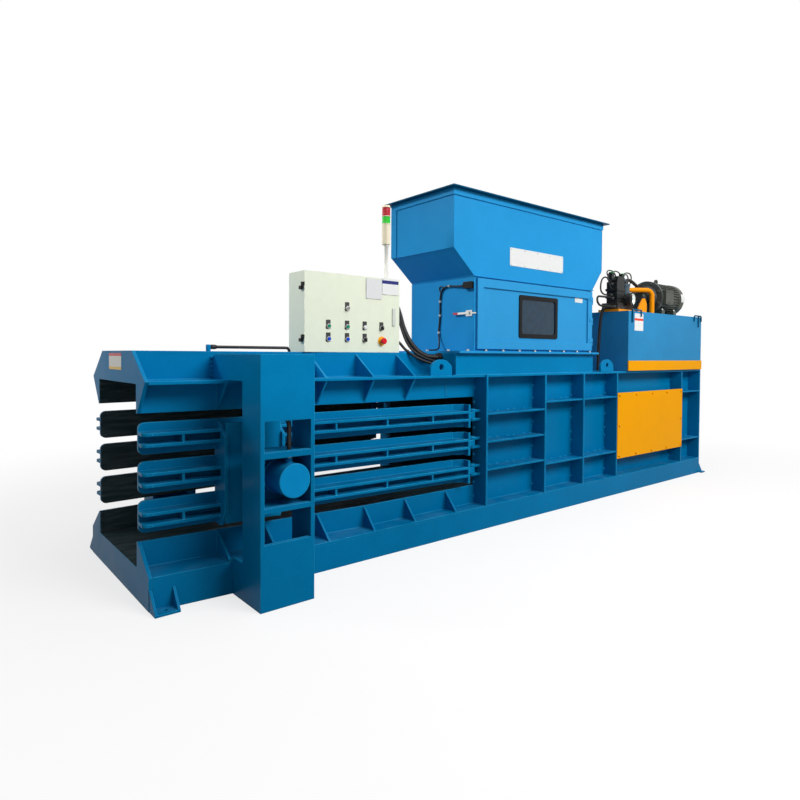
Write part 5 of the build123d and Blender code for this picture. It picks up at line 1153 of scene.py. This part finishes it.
# %% Windows and wires
green_glow = grained("green_glow", (0.05, 0.42, 0.12), 0.3, 300, 0.1)[0]
windows = joined([soft_box((x - 0.013, -0.448, 1.974), (x + 0.013, -0.408, 1.983)) for x in (1.311, 1.4835)])
piece("valve_windows", windows, "frame", green_glow)
wires = {
    "valve_wire_1": (0.0055, [
        (1.290, -0.4275, 1.955), (1.250, -0.430, 1.965), (1.232, -0.440, 1.930), (1.240, -0.450, 1.860),
        (1.275, -0.455, 1.820), (1.312, -0.450, 1.815)]),
    "valve_wire_2": (0.0055, [
        (1.505, -0.4275, 1.955), (1.535, -0.429, 1.978), (1.566, -0.432, 1.980), (1.584, -0.435, 1.955),
        (1.578, -0.440, 1.915), (1.545, -0.445, 1.868), (1.500, -0.450, 1.828), (1.453, -0.450, 1.800)]),
    "valve_wire_3": (0.0055, [
        (1.330, -0.4275, 1.962), (1.345, -0.420, 1.990), (1.397, -0.418, 2.000), (1.455, -0.420, 1.990),
        (1.470, -0.4275, 1.962)]),
    "valve_wire_4": (0.0055, [
        (1.500, -0.4275, 1.965), (1.522, -0.430, 1.990), (1.590, -0.432, 2.000), (1.645, -0.430, 1.985),
        (1.652, -0.430, 1.935), (1.620, -0.432, 1.890), (1.576, -0.434, 1.866)]),
    "valve_wire_5": (0.0055, [
        (1.292, -0.4275, 1.938), (1.270, -0.426, 1.936), (1.254, -0.423, 1.946), (1.250, -0.419, 1.968),
        (1.262, -0.414, 1.988), (1.298, -0.410, 1.999), (1.350, -0.408, 1.999), (1.385, -0.411, 1.985),
        (1.402, -0.418, 1.950), (1.402, -0.4275, 1.892)]),
    "side_wire_1": (0.008, [
        (-1.156, -0.330, 1.500), (-1.128, -0.333, 1.488), (-1.108, -0.350, 1.385), (-1.092, -0.390, 1.285),
        (-1.050, -0.428, 1.222), (-0.965, -0.452, 1.186), (-0.900, -0.460, 1.172), (-0.835, -0.461, 1.170)]),
    "side_wire_2": (0.009, [
        (-1.156, -0.350, 1.310), (-1.130, -0.356, 1.298), (-1.108, -0.385, 1.250), (-1.060, -0.436, 1.200),
        (-0.970, -0.466, 1.162), (-0.900, -0.474, 1.150), (-0.835, -0.475, 1.148)]),
    "left_loop": (0.007, [
        (1.322, -0.437, 1.872), (1.262, -0.438, 1.905), (1.190, -0.440, 1.932), (1.122, -0.442, 1.895),
        (1.112, -0.440, 1.800), (1.170, -0.436, 1.768), (1.250, -0.432, 1.768), (1.322, -0.430, 1.772)]),
    "low_loop": (0.009, [
        (1.322, -0.446, 1.742), (1.240, -0.447, 1.746), (1.150, -0.449, 1.746), (1.094, -0.450, 1.745),
        (1.062, -0.452, 1.744), (1.038, -0.456, 1.721), (1.038, -0.463, 1.685), (1.062, -0.469, 1.662),
        (1.100, -0.472, 1.659), (1.170, -0.475, 1.658), (1.302, -0.475, 1.662)]),
    "pump_hose": (0.015, [
        (1.540, -0.435, 1.886), (1.546, -0.436, 1.922), (1.590, -0.438, 1.934), (1.660, -0.444, 1.912),
        (1.730, -0.452, 1.872), (1.770, -0.456, 1.836)]),
}
for name, (thick, route) in wires.items():
    wire = route_curve(name, route, thick)
    wire.data.materials.append(hose_black)
    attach(wire, "frame")
    length = length_of(curve_points(route))
    print(name, "is", round(length, 3), "m long")
nut = [(on_axis, -0.001), (0.0145, -0.001), (0.0145, 0.016), (0.0115, 0.019), (0.0115, 0.030), (0.009, 0.034),
       (on_axis, 0.0345)]
nut_spots = [(1.320, -0.437, 1.872), (1.320, -0.430, 1.772), (1.320, -0.446, 1.742), (1.300, -0.475, 1.662)]
nuts = copies(lathe(nut, 6), nut_spots, (-1, 0, 0))
piece("hose_nuts", nuts, "frame", iron_dark, smooth=False)
print("valve windows: 2, wires:", len(wires))

# %% [markdown]
# ## A bare label on the fan cover
# The fan cover carries a label that follows its curve. The sheet is a strip of a cylinder about the motor's
# axis, with a front, a back and closed edges.

# %% Curved label
label_back, label_front, label_ends = 0.1515, 0.1532, (2.284, 2.350)
sweep = np.linspace(-0.17, 0.36, 14)
corner_x = np.repeat(label_ends, 2)
corner_radius = np.array([label_back, label_front, label_front, label_back])
strip = np.stack([
    np.broadcast_to(corner_x, (len(sweep), 4)),
    motor_axis[0] - corner_radius * np.cos(sweep)[:, None],
    motor_axis[1] + corner_radius * np.sin(sweep)[:, None],
], axis=2)
first, last = [np.broadcast_to(strip[k].mean(axis=0), (1, 4, 3)) for k in (0, -1)]
strip = np.concatenate([first, strip, last])
piece("fan_label", (strip, grid_quads(len(strip), 4)[:, ::-1]), "frame", plate_white, smooth=False)
print("fan label:", len(strip), "rings")

# %% [markdown]
# ## The signal tower's seams and pole
# The tower has a seam between its modules, and a turned pole with a foot carries it.

# %% Seams and pole
seam = [(on_axis, -0.002), (0.0274, -0.002), (0.0279, 0.0), (0.0274, 0.002), (on_axis, 0.002)]
seam_levels = [tower_foot + level for level in (0.373, 0.423, 0.482)]
seams = copies(lathe(seam, 40), [(tower_x, tower_y, level) for level in seam_levels])
piece("tower_seams", seams, "frame", tower_cream)
pole = [(on_axis, 0.0), (0.021, 0.0), (0.021, 0.010), (0.0175, 0.012), (0.0132, 0.013), (0.0128, 0.218),
        (0.018, 0.222), (0.020, 0.231), (on_axis, 0.2315)]
lathed("tower_pole", pole, (tower_x, tower_y, tower_foot + 0.006), (0, 0, 1), tower_cream, 32)
print("tower seams at", [round(level, 3) for level in seam_levels])

# %% [markdown]
# ## Floor
# The floor is plain and pale. Near the machine it keeps the machine's shadow, and further out it fades to
# the same white as the background, so no horizon shows.

# %% Floor
def seen(tree):
    """1 for rays from the camera, off a gloss or through glass, and 0 for those that only carry light"""
    rays = node(tree, "LightPath").outputs
    return maths(tree, "MAXIMUM", rays["Is Camera Ray"],
                 maths(tree, "MAXIMUM", rays["Is Glossy Ray"], rays["Is Transmission Ray"]))


reach = np.linspace(0.0, 26.0, 27)
ring = np.arange(48) * 2 * math.pi / 48
floor_points = np.stack([reach[:, None] * np.cos(ring), reach[:, None] * np.sin(ring), np.zeros((27, 48))], axis=2)
mesh = bpy.data.meshes.new("floor")
mesh.from_pydata(floor_points.reshape(-1, 3), [], grid_quads(27, 48)[:, ::-1].tolist())
floor = bpy.data.objects.new("floor", mesh)
bpy.context.scene.collection.objects.link(floor)
floor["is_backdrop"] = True
material, tree, shader = shader_of("pale_floor")
where = on_part(tree)
away = node(tree, "VectorMath", {0: where}, operation="LENGTH").outputs["Value"]
eye = seen(tree)
pale = mix_colour(tree, noise(tree, where, 6.0, 4.0), (0.92, 0.92, 0.92, 1), (0.96, 0.96, 0.96, 1))
tree.links.new(mix_colour(tree, eye, (0.30, 0.30, 0.30, 1), pale), shader.inputs["Base Color"])
shader.inputs["Roughness"].default_value = 0.9
shader.inputs["Specular IOR Level"].default_value = 0.1
glow = node(tree, "Emission", {"Color": (1, 1, 1, 1), "Strength": 1.0})
faded = times(tree, eye, ramp(tree, away, 2.5, 6.0, 0.75, 1.0))
blend = node(tree, "MixShader", {0: faded, 1: shader.outputs[0], 2: glow.outputs[0]})
output = next(n for n in tree.nodes if n.type == "OUTPUT_MATERIAL")
tree.links.new(blend.outputs[0], output.inputs["Surface"])
mesh.materials.append(material)
print("floor reaches", reach[-1], "m")

# %% [markdown]
# ## Light
# The photograph has soft light from the operator's side and from above. One large lamp is the key, a weaker
# one shines from overhead, a narrow one opens the shadows on the discharge end, and the world fills the
# rest. What the camera sees of the world is white.

# %% World and lamps
world = bpy.data.worlds.new("studio")
bpy.context.scene.world = world
world.use_nodes = True
tree = world.node_tree
background = next(n for n in tree.nodes if n.type == "BACKGROUND")
background.inputs["Color"].default_value = (1, 1, 1, 1)
tree.links.new(ramp(tree, seen(tree), 0.0, 1.0, 0.30, 1.0), background.inputs["Strength"])


def lamp(name, spot, aim, size, power):
    """A rectangular area lamp at one place, turned to look at another"""
    light = bpy.data.lights.new(name, "AREA")
    light.shape = "RECTANGLE"
    light.size, light.size_y = size
    light.energy = power
    made = bpy.data.objects.new(name, light)
    bpy.context.scene.collection.objects.link(made)
    direction = Vector(aim) - Vector(spot)
    made.matrix_world = Matrix.Translation(spot) @ direction.to_track_quat("-Z", "Y").to_matrix().to_4x4()
    return made


lamp("key", (0.9, -6.4, 5.2), (0.0, 0.0, 1.1), (5.0, 2.5), 520)
lamp("overhead", (0.0, -1.0, 7.0), (0.0, 0.0, 1.0), (6.0, 3.0), 110)
lamp("end_fill", (-5.5, 3.2, 5.0), (-1.4, -0.3, 1.85), (1.6, 1.6), 14.0).data.spread = math.radians(34)
print("lamps:", len(bpy.data.lights))

# %% [markdown]
# ## Camera
# The camera's place, turn and lens were found by matching about ninety corners of the machine in the
# photograph. The small roll and the vertical shift are part of that match.

# %% Camera
camera_data = bpy.data.cameras.new("camera")
camera = bpy.data.objects.new("camera", camera_data)
bpy.context.scene.collection.objects.link(camera)
yaw, pitch, roll = math.radians(50.642), math.radians(-1.345), math.radians(0.318)
forward = Vector((math.cos(yaw) * math.cos(pitch), math.sin(yaw) * math.cos(pitch), math.sin(pitch)))
right = Vector((math.sin(yaw), -math.cos(yaw), 0.0))
up = right.cross(forward)
tilted_right = math.cos(roll) * right + math.sin(roll) * up
tilted_up = math.cos(roll) * up - math.sin(roll) * right
camera.matrix_world = Matrix((
    (tilted_right.x, tilted_up.x, -forward.x, -3.6480),
    (tilted_right.y, tilted_up.y, -forward.y, -3.4334),
    (tilted_right.z, tilted_up.z, -forward.z, 1.2122),
    (0, 0, 0, 1),
))
camera_data.sensor_width = 36.0
camera_data.lens = 26.83
camera_data.shift_y = -0.0386
bpy.context.scene.camera = camera
bpy.context.scene.view_settings.view_transform = "Standard"
print("camera at", [round(v, 3) for v in camera.location], "lens", camera_data.lens, "mm")

# %% [markdown]
# ## Sizes, and the end
# The box round the dressed model, floor left out, is measured. The dressed model has to keep to the
# engineering model's box, within about a millimetre.

# %% Finish
low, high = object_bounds()
